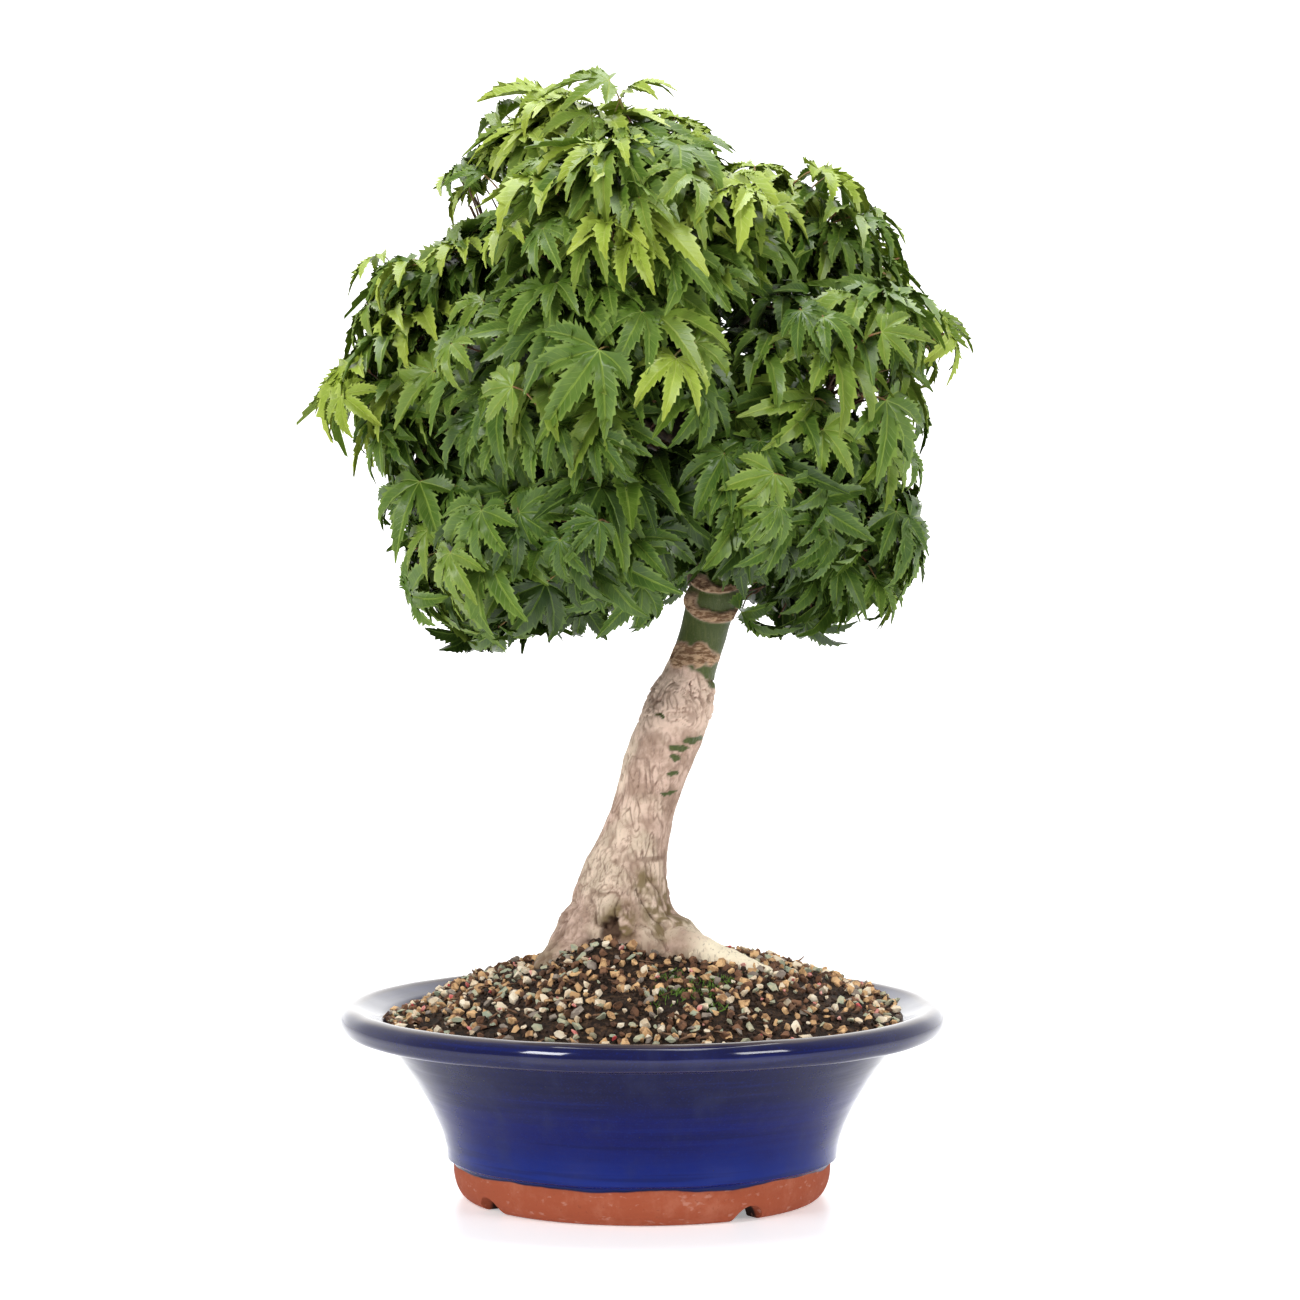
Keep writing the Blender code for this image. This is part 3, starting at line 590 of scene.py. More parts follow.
# %% The pot's tree: sweep and ripple
TURNING_STEPS = 216
GLAZE_THICKNESS = 0.55
GLAZE_RIPPLE = 0.5
GLAZE_END = 11.6  # the lowest height that the glaze reaches
GLAZE_WAVES = 6.6  # how far its edge wanders up from there, in long waves
GLAZE_RAGS = 1.0  # and in short ones
NOTCH_SIDES = 28
NOTCH_LENGTH = 30.0


def glaze_edge(nodes, place):
    """How far a point is above the uneven line where the glaze stopped running, in millimetres."""
    ring = nodes.level(place)
    slow = nodes.noise(ring, 46.0, detail=1.0)
    quick = nodes.noise(ring, 9.0, detail=1.0)
    return nodes.axis(place, "Z") - (GLAZE_END + slow * GLAZE_WAVES + quick * GLAZE_RAGS)


def turned_and_glazed(recipe, position):
    """The outline swept round, with the glaze lifted off the clay and rippled."""
    nodes = recipe.nodes
    sockets = {"Resolution": recipe.input("Steps"), "Radius": recipe.input("Turning Radius")}
    circle = nodes.add("GeometryNodeCurvePrimitiveCircle", {"mode": "RADIUS"}, sockets)
    outline = nodes.add("GeometryNodeMeshToCurve", None, {"Mesh": recipe.input("Geometry")})
    turned = nodes.add("GeometryNodeCurveToMesh", None, {"Curve": circle, "Profile Curve": outline})
    place = nodes.vector("SCALE", position, 1.0 / MM)
    glazed = nodes.step(glaze_edge(nodes, place), -0.5, 0.7)
    bands = nodes.noise(nodes.vector("MULTIPLY", place, (0.16, 0.16, 1.0)), 6.0, detail=1.0)
    swell = nodes.noise(place, 34.0, detail=1.0)
    rise = glazed * (GLAZE_THICKNESS + (bands - 0.5) * GLAZE_RIPPLE + (swell - 0.5) * GLAZE_RIPPLE)
    offset = nodes.vector("SCALE", nodes.add("GeometryNodeInputNormal"), rise * MM)
    return nodes.add("GeometryNodeSetPosition", None, {"Geometry": turned, "Offset": offset})


# %% Cutters for the arches


def notch_cutters(recipe, position):
    """Lying cylinders that point outwards, one for each arch in the foot."""
    nodes = recipe.nodes
    ring = {"Vertices": NOTCHES, "Radius": (FOOT_INNER_RADIUS + FOOT_RADIUS) / 2.0 * MM}
    turn = {"Translation": (0.0, 0.0, NOTCH_CENTRE * MM), "Rotation": (0.0, 0.0, math.radians(NOTCH_TURN))}
    spots = nodes.add("GeometryNodeMeshCircle", None, ring)
    spots = nodes.add("GeometryNodeTransform", None, {"Geometry": spots, **turn})
    axes = {"Primary Axis": nodes.level(position), "Secondary Axis": (0.0, 0.0, 1.0)}
    aim = nodes.add("FunctionNodeAxesToRotation", None, axes)
    size = {"Vertices": NOTCH_SIDES, "Radius": recipe.input("Notch Radius"), "Depth": NOTCH_LENGTH * MM}
    cutter = nodes.add("GeometryNodeMeshCylinder", None, size)
    sockets = {"Points": spots, "Instance": cutter, "Rotation": aim}
    return recipe.real(nodes.add("GeometryNodeInstanceOnPoints", None, sockets))


def pot_recipe():
    inputs = {"Turning Radius": "number", "Steps": "whole", "Notch Radius": "number", "Material": "material"}
    recipe = Recipe("turned_pot", inputs)
    position = recipe.nodes.add("GeometryNodeInputPosition")
    cut = recipe.nodes.add(
        "GeometryNodeMeshBoolean",
        {"operation": "DIFFERENCE", "solver": "EXACT"},
        {"Mesh 1": turned_and_glazed(recipe, position), "Mesh 2": notch_cutters(recipe, position)},
    )
    recipe.close(cut)
    return recipe


# %% [markdown]
# ### Glaze and clay
#
# One material does both, because on the real pot the glaze simply stops above the foot. The same formula
# that lifts the glaze in the mesh tells the shader where clay ends. Cobalt glaze is thin, and so darker and
# browner, where it ran off an edge, and deeper blue where it pooled low on the wall. Fine pinholes and dark
# specks break it up. The clay is rough, and the glaze is smooth with a clear gloss on the lip.

# %% The pot's colours
COBALT = (0.004, 0.0065, 0.088)
POOLED_BLUE = (0.004, 0.017, 0.17)
THIN_GLAZE = (0.007, 0.007, 0.024)
DARK_RING = (0.0025, 0.004, 0.04)
BRIGHT_RING = (0.0045, 0.014, 0.14)
SMOKY_GLAZE = (0.02, 0.024, 0.075)
BROKEN_EDGE = (0.085, 0.066, 0.064)
GLAZE_RIM = (0.006, 0.008, 0.02)
GLAZE_SPECK = (0.01, 0.009, 0.012)
CLAY = (0.33, 0.078, 0.036)
PALE_CLAY = (0.43, 0.145, 0.085)
BURNT_CLAY = (0.14, 0.04, 0.025)
# Painted shade: darkens the clay in the recess under the foot.
PAINTED_SHADE_UNDER_FOOT = (0.03, 0.012, 0.009)
SCUFFED_CLAY = (0.52, 0.27, 0.2)
CLAY_ROUGHNESS = 0.82
GLAZE_GLOSS = 0.74  # what the glaze takes off the roughness
POT_RELIEF = 0.22

# %% The pot's material


def glaze_colour(nodes, place, height, above, flow, rings, speck):
    """Blue glaze, which breaks to brown at the lip's edges and ends in a dark rim."""
    cloud = nodes.noise(place, 26.0, detail=3.0)
    fleck = nodes.noise(place, 0.9, detail=2.0)
    smoky = nodes.noise(nodes.place((1.0, 1.0, 0.45)), 17.0, detail=3.0)
    lip_top = nodes.step(height + flow * 1.6, 81.9, 83.1)
    lip_under = nodes.step(height + flow * 2.0, 72.1, 70.7) * nodes.step(height, 68.1, 70.1)
    return nodes.layers(
        COBALT,
        (nodes.step(height + cloud * 16.0, 46.0, 22.0), POOLED_BLUE),
        (nodes.step(height + flow * 22.0, 52.0, 72.0) * 0.7, THIN_GLAZE),
        (nodes.step(fleck, 0.52, 0.75) * 0.35, POOLED_BLUE),
        (nodes.step(rings, 0.5, 0.64) * 0.4, DARK_RING),
        (nodes.step(rings, 0.44, 0.34) * 0.3, BRIGHT_RING),
        (nodes.step(smoky, 0.5, 0.72) * 0.35, SMOKY_GLAZE),
        ((lip_top + lip_under) * (0.45 + cloud * 0.7), BROKEN_EDGE),
        (nodes.step(above, 1.5, 0.1) * 0.8, GLAZE_RIM),
        (speck * 0.8, GLAZE_SPECK),
    )


def clay_colour(nodes, place, height, grain, dust):
    """Red clay with pale dust and scuffs, and painted shade in the recess under the foot."""
    # The recess under the foot is painted dark as shade.
    shade_under_foot = nodes.step(nodes.length(nodes.level(place)), 74.0, 71.5) * nodes.step(height, 10.5, 8.5)
    scuffs = nodes.step(nodes.noise(nodes.place((1.0, 1.0, 2.0)), 5.0, detail=4.0), 0.6, 0.7)
    return nodes.layers(
        CLAY,
        (nodes.step(dust, 0.45, 0.75) * 0.6, PALE_CLAY),
        (nodes.step(grain, 0.62, 0.72) * 0.35, BURNT_CLAY),
        (shade_under_foot, PAINTED_SHADE_UNDER_FOOT),
        (scuffs * 0.45, SCUFFED_CLAY),
    )


def pot_finish(nodes):
    place = nodes.place()
    height = nodes.axis(place, "Z")
    above = glaze_edge(nodes, place)
    glazed = nodes.step(above, -0.25, 0.35)
    bare = 1.0 - glazed
    flow = nodes.noise(nodes.place((0.25, 0.25, 1.0)), 9.0, detail=4.0)
    rings = nodes.noise(nodes.place((0.03, 0.03, 1.0)), 3.2, detail=3.0)
    speck = nodes.step(nodes.cells(place, 3.4), 0.1, 0.05) * nodes.step(nodes.noise(place, 11.0), 0.5, 0.6)
    grain = nodes.noise(place, 1.3, detail=4.0)
    dust = nodes.noise(place, 14.0, detail=4.0, roughness=0.7)
    blue = glaze_colour(nodes, place, height, above, flow, rings, speck)
    clay = clay_colour(nodes, place, height, grain, dust)
    pits = nodes.step(nodes.cells(place, 1.6), 0.16, 0.06) * bare
    relief = grain * bare * 0.5 + glazed * (flow * 0.3 + rings * 0.5 + 0.2) - pits * 0.5 - speck * 0.2
    dulled = nodes.step(dust, 0.5, 0.8) * 0.06 + speck * 0.2
    return {
        "Base Color": nodes.mix(glazed, clay, blue),
        "Roughness": CLAY_ROUGHNESS - glazed * (GLAZE_GLOSS - dulled),
        "Coat Weight": glazed * nodes.step(height, 72.0, 76.0) * 0.4,
        "Normal": nodes.bump(relief, POT_RELIEF),
    }


glazed_clay = finish("glazed_clay", {"Specular IOR Level": 0.15, "Coat Roughness": 0.08}, pot_finish)


def make_pot():
    points = [(radius - TURNING_RADIUS, -height, 0.0) for radius, height in pot_outline()]
    outline = mesh_of("outline", points, edges=[((k + 1) % len(points), k) for k in range(len(points))])
    values = {
        "Turning Radius": TURNING_RADIUS * MM,
        "Steps": TURNING_STEPS,
        "Notch Radius": NOTCH_RADIUS * MM,
        "Material": glazed_clay,
    }
    mesh = smooth_shaded(pot_recipe().run(outline, values), 50.0)
    return piece("glazed_pot", mesh, glazed_clay, ["pot"], outwards=True)


make_pot()

# %% [markdown]
# ## The soil
#
# The pot is filled to a low mound of coarse, gritty mix. A displaced grid would do for the surface, but the
# mound is round and closed under its edge, so rings of points are laid out from the middle. On top lies the
# grit, thousands of stones that nobody would place by hand: Geometry Nodes scatter a few stone shapes over
# the faces and turn and size each one by chance.

# %% The mound
SOIL_EDGE = 76.0
SOIL_RISE = 28.0
SOIL_CENTRE = (6.0, 0.0)
SOIL_HUMP = (-16.0, -27.0, 20.0, 10.0)  # heaped against the roots: place, reach and height
MOSS_SPOT = (22.0, -62.0, 14.0)  # a patch of moss: place and reach
SOIL_RIM = 109.2
SOIL_TURNS = 180
SOIL_RINGS = 84
SOIL_FOOT = (100.0, 66.5)  # radius and height of its flat underside
LUMP_HEIGHTS = (1.8, 1.3)  # of the wide and the narrow bumps


def soil_height(x, y):
    """The mound's surface at each place, with large soft bumps and small crumbs."""
    x, y = np.broadcast_arrays(np.asarray(x, float), np.asarray(y, float))
    reach = np.hypot(x - SOIL_CENTRE[0], y - SOIL_CENTRE[1]) / LIP_INNER[0]
    rise = SOIL_RISE * np.maximum(1.0 - reach**2.2, 0.0)
    edge = np.minimum(rise / 4.0, 1.0)
    place = np.stack([x, y, np.zeros_like(x)], axis=-1)
    hump_x, hump_y, hump_reach, hump_height = SOIL_HUMP
    hump = hump_height * np.exp(-((x - hump_x) ** 2 + (y - hump_y) ** 2) / hump_reach**2)
    wide, narrow = LUMP_HEIGHTS
    lumps = wide * clouds(place, 19.0, 3) + narrow * clouds(place, 6.5, 4, 2)
    return SOIL_EDGE + rise + hump + edge * lumps


# %% [markdown]
# ## Where the trunk stands
#
# The trunk's shape comes first, although its bark is made later, because no stone may lie inside it. Its
# centre line and girth pass smoothly through a few stations, and each surface root is a round-ended reach out
# from the axis that rises into the trunk. These are the frame's own stations and roots, written for whole
# arrays so that the fine mesh below can use them.

# %% Stations, roots and girth
TRUNK_FOOT = 88.5
# Height, place across, place front to back, and radius.
TRUNK_STATIONS = np.array((
    (TRUNK_FOOT, -8.0, 0.0, 25.0),
    (114.5, -8.0, 0.0, 23.5),
    (130.5, -8.5, 0.5, 20.3),
    (142.5, -7.0, 1.0, 17.8),
    (154.5, -3.2, 1.0, 15.3),
    (168.5, 1.3, 0.5, 13.6),
    (187.5, 7.5, 0.0, 15.3),
    (208.5, 14.8, -0.5, 15.5),
    (216.5, 16.8, -0.5, 14.0),
    (224.5, 19.8, 0.0, 11.6),
    (235.5, 24.2, 0.5, 10.5),
    (251.5, 29.0, 1.0, 11.0),
    (258.5, 31.0, 1.5, 12.2),
    (266.5, 33.0, 2.0, 10.4),
    (280.5, 34.0, 2.5, 9.4),
    (302.5, 29.0, 3.0, 8.0),
    (337.5, 14.0, 0.0, 6.8),
    (382.5, -2.0, 1.0, 5.0),
    (406.5, -9.0, 2.0, 3.6),
))
# Direction in degrees from +X, reach from the axis, half width, and the height where the root leaves.
ROOTS = (
    (-14.0, 62.0, 10.5, 127.5),
    (196.0, 47.0, 12.0, 132.5),
    (-84.0, 36.0, 11.0, 124.5),
    (-48.0, 39.0, 8.5, 118.5),
    (238.0, 33.0, 8.0, 114.5),
    (152.0, 41.0, 9.5, 120.5),
    (98.0, 48.0, 10.5, 124.5),
    (42.0, 43.0, 9.5, 118.5),
)
FLARE_BLEND = 7.0


def trunk_at(heights):
    """Columns of place across, place front to back and radius at each height."""
    stations = TRUNK_STATIONS
    heights = np.atleast_1d(np.asarray(heights, float))
    i = np.clip(np.searchsorted(stations[:, 0], heights) - 1, 0, len(stations) - 2)
    before, start = stations[np.maximum(i - 1, 0)], stations[i]
    end, after = stations[i + 1], stations[np.minimum(i + 2, len(stations) - 1)]
    span = (end - start)[:, :1]
    t = np.clip((heights[:, None] - start[:, :1]) / span, 0.0, 1.0)
    leave = (end - before) / (end - before)[:, :1] * span
    arrive = (after - start) / (after - start)[:, :1] * span
    place = (
        (2 * t**3 - 3 * t**2 + 1) * start
        + (t**3 - 2 * t**2 + t) * leave
        + (3 * t**2 - 2 * t**3) * end
        + (t**3 - t**2) * arrive
    )
    return place[:, 1:]


def root_reach(root, angles, heights):
    """How far one surface root comes out at these angles and heights, and 0 above it."""
    direction, far, half_width, top = root
    share = np.clip((top - heights) / (top - TRUNK_FOOT), 0.0, None)
    bare = trunk_at(top)[0, 2]
    middle = bare + (far - bare) * share**1.2 - half_width
    turn = angles - math.radians(direction)
    across = np.maximum(np.abs(np.sin(turn)), 1e-6)
    under = half_width**2 - (middle * across) ** 2
    ahead = np.maximum(middle * np.cos(turn) + np.sqrt(np.maximum(under, 0.0)), half_width)
    reach = np.where(under >= 0.0, ahead, half_width / across)
    reach = np.where(np.cos(turn) <= 0.0, half_width, reach)
    return np.where(share > 0.0, reach, 0.0)


def trunk_radius(angles, heights):
    """The trunk's girth with its surface roots blended in."""
    angles, heights = np.broadcast_arrays(np.asarray(angles, float), np.asarray(heights, float))
    bare = trunk_at(heights.ravel())[:, 2].reshape(heights.shape)
    total = bare**FLARE_BLEND
    for root in ROOTS:
        risen = smooth_step((root[3] - heights) / (root[3] - TRUNK_FOOT), 0.0, 0.22)
        total = total + (root_reach(root, angles, heights) * risen) ** FLARE_BLEND
    return np.where(heights > max(root[3] for root in ROOTS), bare, total ** (1.0 / FLARE_BLEND))


def outside_trunk(points):
    """How far each point is outside the trunk's surface, measured level from its axis."""
    x, y, _ = trunk_at(points[:, 2]).T
    across, along = points[:, 0] - x, points[:, 1] - y
    return np.hypot(across, along) - trunk_radius(np.arctan2(along, across), points[:, 2])


# %% The soil's mesh and its earth
EARTH_DARK = (0.015, 0.0085, 0.0052)
EARTH_LIGHT = (0.105, 0.057, 0.031)
EARTH_DAMP = (0.012, 0.008, 0.006)


def earth_finish(nodes):
    place = nodes.place()
    crumbs = nodes.noise(place, 2.2, detail=5.0, roughness=0.7)
    damp = nodes.noise(place, 16.0, detail=2.0)
    colour = nodes.mix(nodes.step(crumbs, 0.4, 0.7), EARTH_DARK, EARTH_LIGHT)
    return {
        "Base Color": nodes.mix(nodes.step(damp, 0.45, 0.65) * 0.5, colour, EARTH_DAMP),
        "Roughness": 0.75 + crumbs * 0.2,
        "Normal": nodes.bump(crumbs, 0.9),
    }


dark_earth = finish("dark_earth", {"Specular IOR Level": 0.3}, earth_finish)


def ground_for_grit(points):
    """How thickly grit and moss may lie at each point: none in the trunk, and thin in patches."""
    free = smooth_step(outside_trunk(points + UP), -1.0, 1.5)
    free[points[:, 2] < SOIL_EDGE - 1.0] = 0.0
    free = free * (0.55 + 0.45 * smooth_step(clouds(points, 11.0, 10, 2), -0.3, 0.25))
    x, y, reach = MOSS_SPOT
    off_moss = np.hypot(points[:, 0] - x, (points[:, 1] - y) * 0.6) + 16.0 * clouds(points, 7.0, 9)
    return {"open_ground": free, "moss_ground": free * smooth_step(off_moss, reach, 4.0)}


def make_soil():
    angles = np.arange(SOIL_TURNS) * math.tau / SOIL_TURNS
    rings = np.append(SOIL_RIM * (np.arange(SOIL_RINGS) + 1) / SOIL_RINGS, SOIL_FOOT[0])
    x = rings[:, None] * np.cos(angles)
    y = rings[:, None] * np.sin(angles)
    heights = soil_height(x, y)
    heights[-2:] = [[SOIL_EDGE], [SOIL_FOOT[1]]]
    points = np.stack([x, y, heights], axis=-1).reshape(-1, 3)
    points = np.vstack([points, (0.0, 0.0, soil_height(0.0, 0.0)), (0.0, 0.0, SOIL_FOOT[1])])
    top, bottom = len(points) - 2, len(points) - 1
    last = SOIL_RINGS * SOIL_TURNS
    faces = []
    for k in range(SOIL_TURNS):
        nearby = (k + 1) % SOIL_TURNS
        faces += [(top, k, nearby), (bottom, last + nearby, last + k)]
        for near in range(0, last, SOIL_TURNS):
            far = near + SOIL_TURNS
            faces.append((near + k, far + k, far + nearby, near + nearby))
    mesh = smooth_shaded(mesh_of("soil_mound", points, faces, ground_for_grit(points)), 60.0)
    return piece("soil_mound", mesh, dark_earth, ["soil"], outwards=True)


mound = make_soil()


# %% [markdown]
# ### Grit
#
# Up close the mix is half stones: dark brown crumbs of baked clay, cream and tan pebbles with a darker skin,
# grey-green chips and a few red bits. Each kind is scattered by the same tree with its own size, spacing and
# seed. A stone is the hull of a few random points, which gives flat, broken faces for two dozen triangles.

# %% Stone shapes
STONE_SHAPES = 7
STONE_CORNERS = 14
STONE_SEED = 20
SCATTER_SEED = 30


def stone_shapes(seed, stretch):
    """A collection of broken stones, each about two units across before it is stretched."""
    group = bpy.data.collections.new("stones")
    chance = np.random.default_rng(seed)
    for k in range(STONE_SHAPES):
        corners = unit(chance.normal(size=(STONE_CORNERS, 3)))
        corners = corners * chance.uniform(0.78, 1.0, (STONE_CORNERS, 1))
        corners *= np.array(stretch) * chance.uniform((0.9, 0.7, 0.8), (1.1, 1.0, 1.2))
        shape = bmesh.new()
        for corner in corners:
            shape.verts.new(corner * MM)
        made = bmesh.ops.convex_hull(shape, input=shape.verts)
        inside = set(made["geom_interior"]) | set(made["geom_unused"])
        inside = [part for part in inside if isinstance(part, bmesh.types.BMVert)]
        bmesh.ops.delete(shape, geom=inside, context="VERTS")
        bmesh.ops.recalc_face_normals(shape, faces=shape.faces)
        mesh = bpy.data.meshes.new(f"stone_{k}")
        shape.to_mesh(mesh)
        shape.free()
        group.objects.link(bpy.data.objects.new(f"stone_{k}", mesh))
    return group


# %% The scattering tree


def by_chance(recipe, low, high, salt, kind="FLOAT"):
    """A random value between low and high for each point, from the recipe's seed and a number of its own."""
    first, output = {"FLOAT": (2, 1), "INT": (4, 2)}[kind]  # the node has sockets for each kind
    sockets = {first: low, first + 1: high, "Seed": recipe.nodes.maths("ADD", recipe.input("Seed"), salt)}
    return recipe.nodes.add("FunctionNodeRandomValue", {"data_type": kind}, sockets, output)


def scatter_recipe():
    numbers = ("Least Distance", "Density", "Smallest", "Largest", "Tilt", "Lift", "Moss Only")
    kinds = {"Shapes": "collection", "Seed": "whole", "Material": "material"}
    recipe = Recipe("scattered_on_soil", {**kinds, **dict.fromkeys(numbers, "number")})
    nodes = recipe.nodes
    moss_only = recipe.input("Moss Only")
    ground = recipe.attribute("open_ground") * (1.0 - moss_only) + recipe.attribute("moss_ground") * moss_only
    spots = nodes.add(
        "GeometryNodeDistributePointsOnFaces",
        {"distribute_method": "POISSON"},
        {
            "Mesh": recipe.input("Geometry"),
            "Distance Min": recipe.input("Least Distance"),
            "Density Max": recipe.input("Density"),
            "Density Factor": ground,
            "Seed": recipe.input("Seed"),
        },
    )
    lift = nodes.vector("SCALE", spots.other("Normal"), recipe.input("Lift"))
    lifted = nodes.add("GeometryNodeSetPosition", None, {"Geometry": spots, "Offset": lift})
    tilts = [by_chance(recipe, -1.0, 1.0, salt) * recipe.input("Tilt") for salt in (3, 4)]
    turns = {"X": tilts[0], "Y": tilts[1], "Z": by_chance(recipe, 0.0, math.tau, 5)}
    turns = nodes.add("ShaderNodeCombineXYZ", None, turns)
    turns = nodes.add("FunctionNodeEulerToRotation", None, {"Euler": turns})
    size = by_chance(recipe, recipe.input("Smallest"), recipe.input("Largest"), 6)
    recipe.close(recipe.shapes_on(lifted, by_chance(recipe, 0, 1000, 7, "INT"), turns, size))
    return recipe


# %% Stone finishes and the scattering itself


def stone_finish(body, rind, spot):
    """A stone's material: its body colour, a skin in patches and small spots."""

    def recipe(nodes):
        place = nodes.place()
        patch = nodes.noise(place, 3.0, detail=3.0)
        grain = nodes.noise(place, 0.7, detail=3.0)
        tone = nodes.noise(place, 7.0, detail=0.0)
        colour = nodes.layers(
            body,
            (nodes.step(patch, 0.48, 0.6) * 0.8, rind),
            (nodes.step(grain, 0.6, 0.7) * 0.6, spot),
            (nodes.step(tone, 0.3, 0.7) * 0.45, rind),
        )
        return {
            "Base Color": colour,
            "Roughness": 0.75 + grain * 0.2,
            "Normal": nodes.bump(grain * 0.6 + patch * 0.4, 0.35),
        }

    return recipe


# Each kind's body colour, its skin and its spots.
GRIT_COLOURS = {
    "crumbs_black": ((0.024, 0.014, 0.01), (0.058, 0.031, 0.018), (0.1, 0.06, 0.038)),
    "crumbs_brown": ((0.215, 0.105, 0.056), (0.06, 0.03, 0.018), (0.26, 0.14, 0.075)),
    "pebbles_tan": ((0.76, 0.48, 0.235), (0.26, 0.13, 0.058), (0.7, 0.54, 0.34)),
    "pebbles_cream": ((0.88, 0.78, 0.6), (0.66, 0.5, 0.32), (0.86, 0.8, 0.68)),
    "chips_green": ((0.33, 0.375, 0.27), (0.56, 0.5, 0.33), (0.11, 0.15, 0.12)),
    "chips_grey": ((0.21, 0.17, 0.14), (0.36, 0.3, 0.24), (0.055, 0.05, 0.045)),
    "bits_red": ((0.52, 0.06, 0.06), (0.82, 0.46, 0.38), (0.25, 0.03, 0.03)),
    "bark_shreds": ((0.24, 0.13, 0.07), (0.09, 0.048, 0.028), (0.3, 0.19, 0.11)),
    "moss_blades": ((0.11, 0.2, 0.025), (0.055, 0.115, 0.018), (0.2, 0.3, 0.05)),
}
# Kind, least gap, how many a square metre, smallest, largest, lift, tilt, stretch, moss only.
GRIT = (
    ("crumbs_black", 2.0, 1.9e5, 0.8, 2.2, 0.4, 1.6, (1.0, 0.85, 0.75), 0.0),
    ("crumbs_brown", 4.4, 4.2e4, 1.5, 3.3, 1.0, 1.0, (1.0, 0.88, 0.8), 0.0),
    ("pebbles_tan", 4.9, 3.2e4, 1.2, 3.8, 1.3, 0.9, (1.0, 0.88, 0.75), 0.0),
    ("pebbles_cream", 6.4, 1.6e4, 1.2, 3.8, 1.6, 0.9, (1.0, 0.85, 0.68), 0.0),
    ("chips_green", 5.6, 2.2e4, 1.4, 4.0, 1.5, 0.8, (1.0, 0.82, 0.45), 0.0),
    ("chips_grey", 8.0, 1.0e4, 1.8, 4.2, 1.3, 0.8, (1.0, 0.82, 0.5), 0.0),
    ("bits_red", 11.0, 4.6e3, 1.2, 2.5, 2.0, 0.9, (1.0, 0.7, 0.45), 0.0),
    ("bark_shreds", 6.5, 1.2e4, 2.0, 5.5, 2.0, 0.5, (1.0, 0.2, 0.13), 0.0),
    ("moss_blades", 0.8, 7.0e5, 0.9, 2.3, 1.2, 0.9, (0.18, 0.18, 1.0), 1.0),
)


def make_grit():
    scatter = scatter_recipe()
    for k, (name, gap, density, smallest, largest, lift, tilt, stretch, moss_only) in enumerate(GRIT):
        surface = finish(name, {"Specular IOR Level": 0.35}, stone_finish(*GRIT_COLOURS[name]))
        shapes = stone_shapes(STONE_SEED + k, stretch)
        values = {
            "Shapes": shapes,
            "Least Distance": gap * MM,
            "Density": density,
            "Smallest": smallest,
            "Largest": largest,
            "Tilt": tilt,
            "Lift": lift * MM,
            "Seed": SCATTER_SEED + k,
            "Moss Only": moss_only,
            "Material": surface,
        }
        mesh = smooth_shaded(scatter.run(mound.data, values), 35.0)
        piece(name, mesh, surface)
        clear_away(shapes)


make_grit()

# %% [markdown]
# ## The trunk
#
# Old maple bark is pale, dry and finely cracked up and down. Higher up the stem is young: smooth, green, with
# two brown rings of callus where branches were cut off, above the swollen knuckle where it was grafted. A
# sculptor would carve this. Here the surface is a fine sheet of points round the axis, and noise moves each
# point in or out: lumps first, then cracks, then the features that have a place of their own. What each
# point is, green bark, crack or scar, is stored beside it, so that the material follows the relief exactly.

# %% Places and depths of the relief
TRUNK_TURNS = 240
FINE_STEP = 0.62  # between rings, up to where the crown hides the stem
COARSE_STEP = 1.9
HIDDEN_ABOVE = 285.0
GRAFT = (201.0, 223.0)  # the knuckle's lowest and highest point
GRAFT_HEART = (17.0, 210.0)  # the lines of its bark run round this place
# Rings of callus on the front: place across, height, half width, half height, width of the band.
CALLUS_RINGS = ((32.5, 265.5, 9.0, 4.6, 3.4), (32.6, 257.0, 11.8, 8.4, 4.2))
GREEN_LEAN = 0.8  # the green reaches lower on the right
BROWN_PATCH = (21.0, 233.0, 11.5, 5.2)  # old bark that is left on the green stem: middle and half sizes
# Young green that shows through the old bark: place across, height and half sizes.
GREEN_STREAKS = (
    (22.0, 197.0, 5.0, 1.6),
    (16.0, 193.5, 4.5, 1.2),
    (14.5, 189.0, 3.0, 1.6),
    (13.5, 182.0, 2.4, 1.3),
    (11.5, 174.0, 3.4, 0.9),
    (7.0, 207.0, 1.8, 1.2),
)
BURL = (-14.6, 127.5, 6.5)  # a round swelling: middle and reach
# Earth stains in the folds of the flare: place across, height and half sizes.
EARTH_STAINS = (
    (11.0, 124.0, 8.0, 12.0),
    (-9.0, 119.0, 8.0, 7.0),
    (1.0, 137.0, 5.0, 6.0),
    (24.0, 112.0, 8.0, 4.0),
)
HOLLOW = (-14.0, 117.0, 4.2, 5.0)  # a hollow between two roots, painted dark as shade
SCRATCH = (4.0, 146.0, 6.5, 1.1)
# Depths and rises of the relief, in millimetres.
CRACK_DEPTHS = (0.55, 0.22)  # of the long cracks and the fine ones
KNUCKLE_RISE = 1.5
KNUCKLE_DEPTHS = (1.1, 0.5, 0.7)  # of its torn cracks, its folds and its grown lines
BURL_RISE = 2.6
HOLLOW_DEPTH = 3.4
FOLD_DEPTH = 1.3
FOLD_RISE = 0.9
KNOT_RISE = 0.28
CALLUS_RISE = 1.3
PATCH_RISE = 0.5
SCRATCH_DEPTH = 0.35
STREAK_DEPTH = 0.4


# %% Spots on the front of the trunk


def near_spot(x, z, spot, softness=0.45):
    """1 inside an oval on the front of the trunk, and 0 outside it."""
    reach = np.hypot((x - spot[0]) / spot[2], (z - spot[1]) / spot[3])
    return smooth_step(reach, 1.0 + softness, 1.0 - softness)


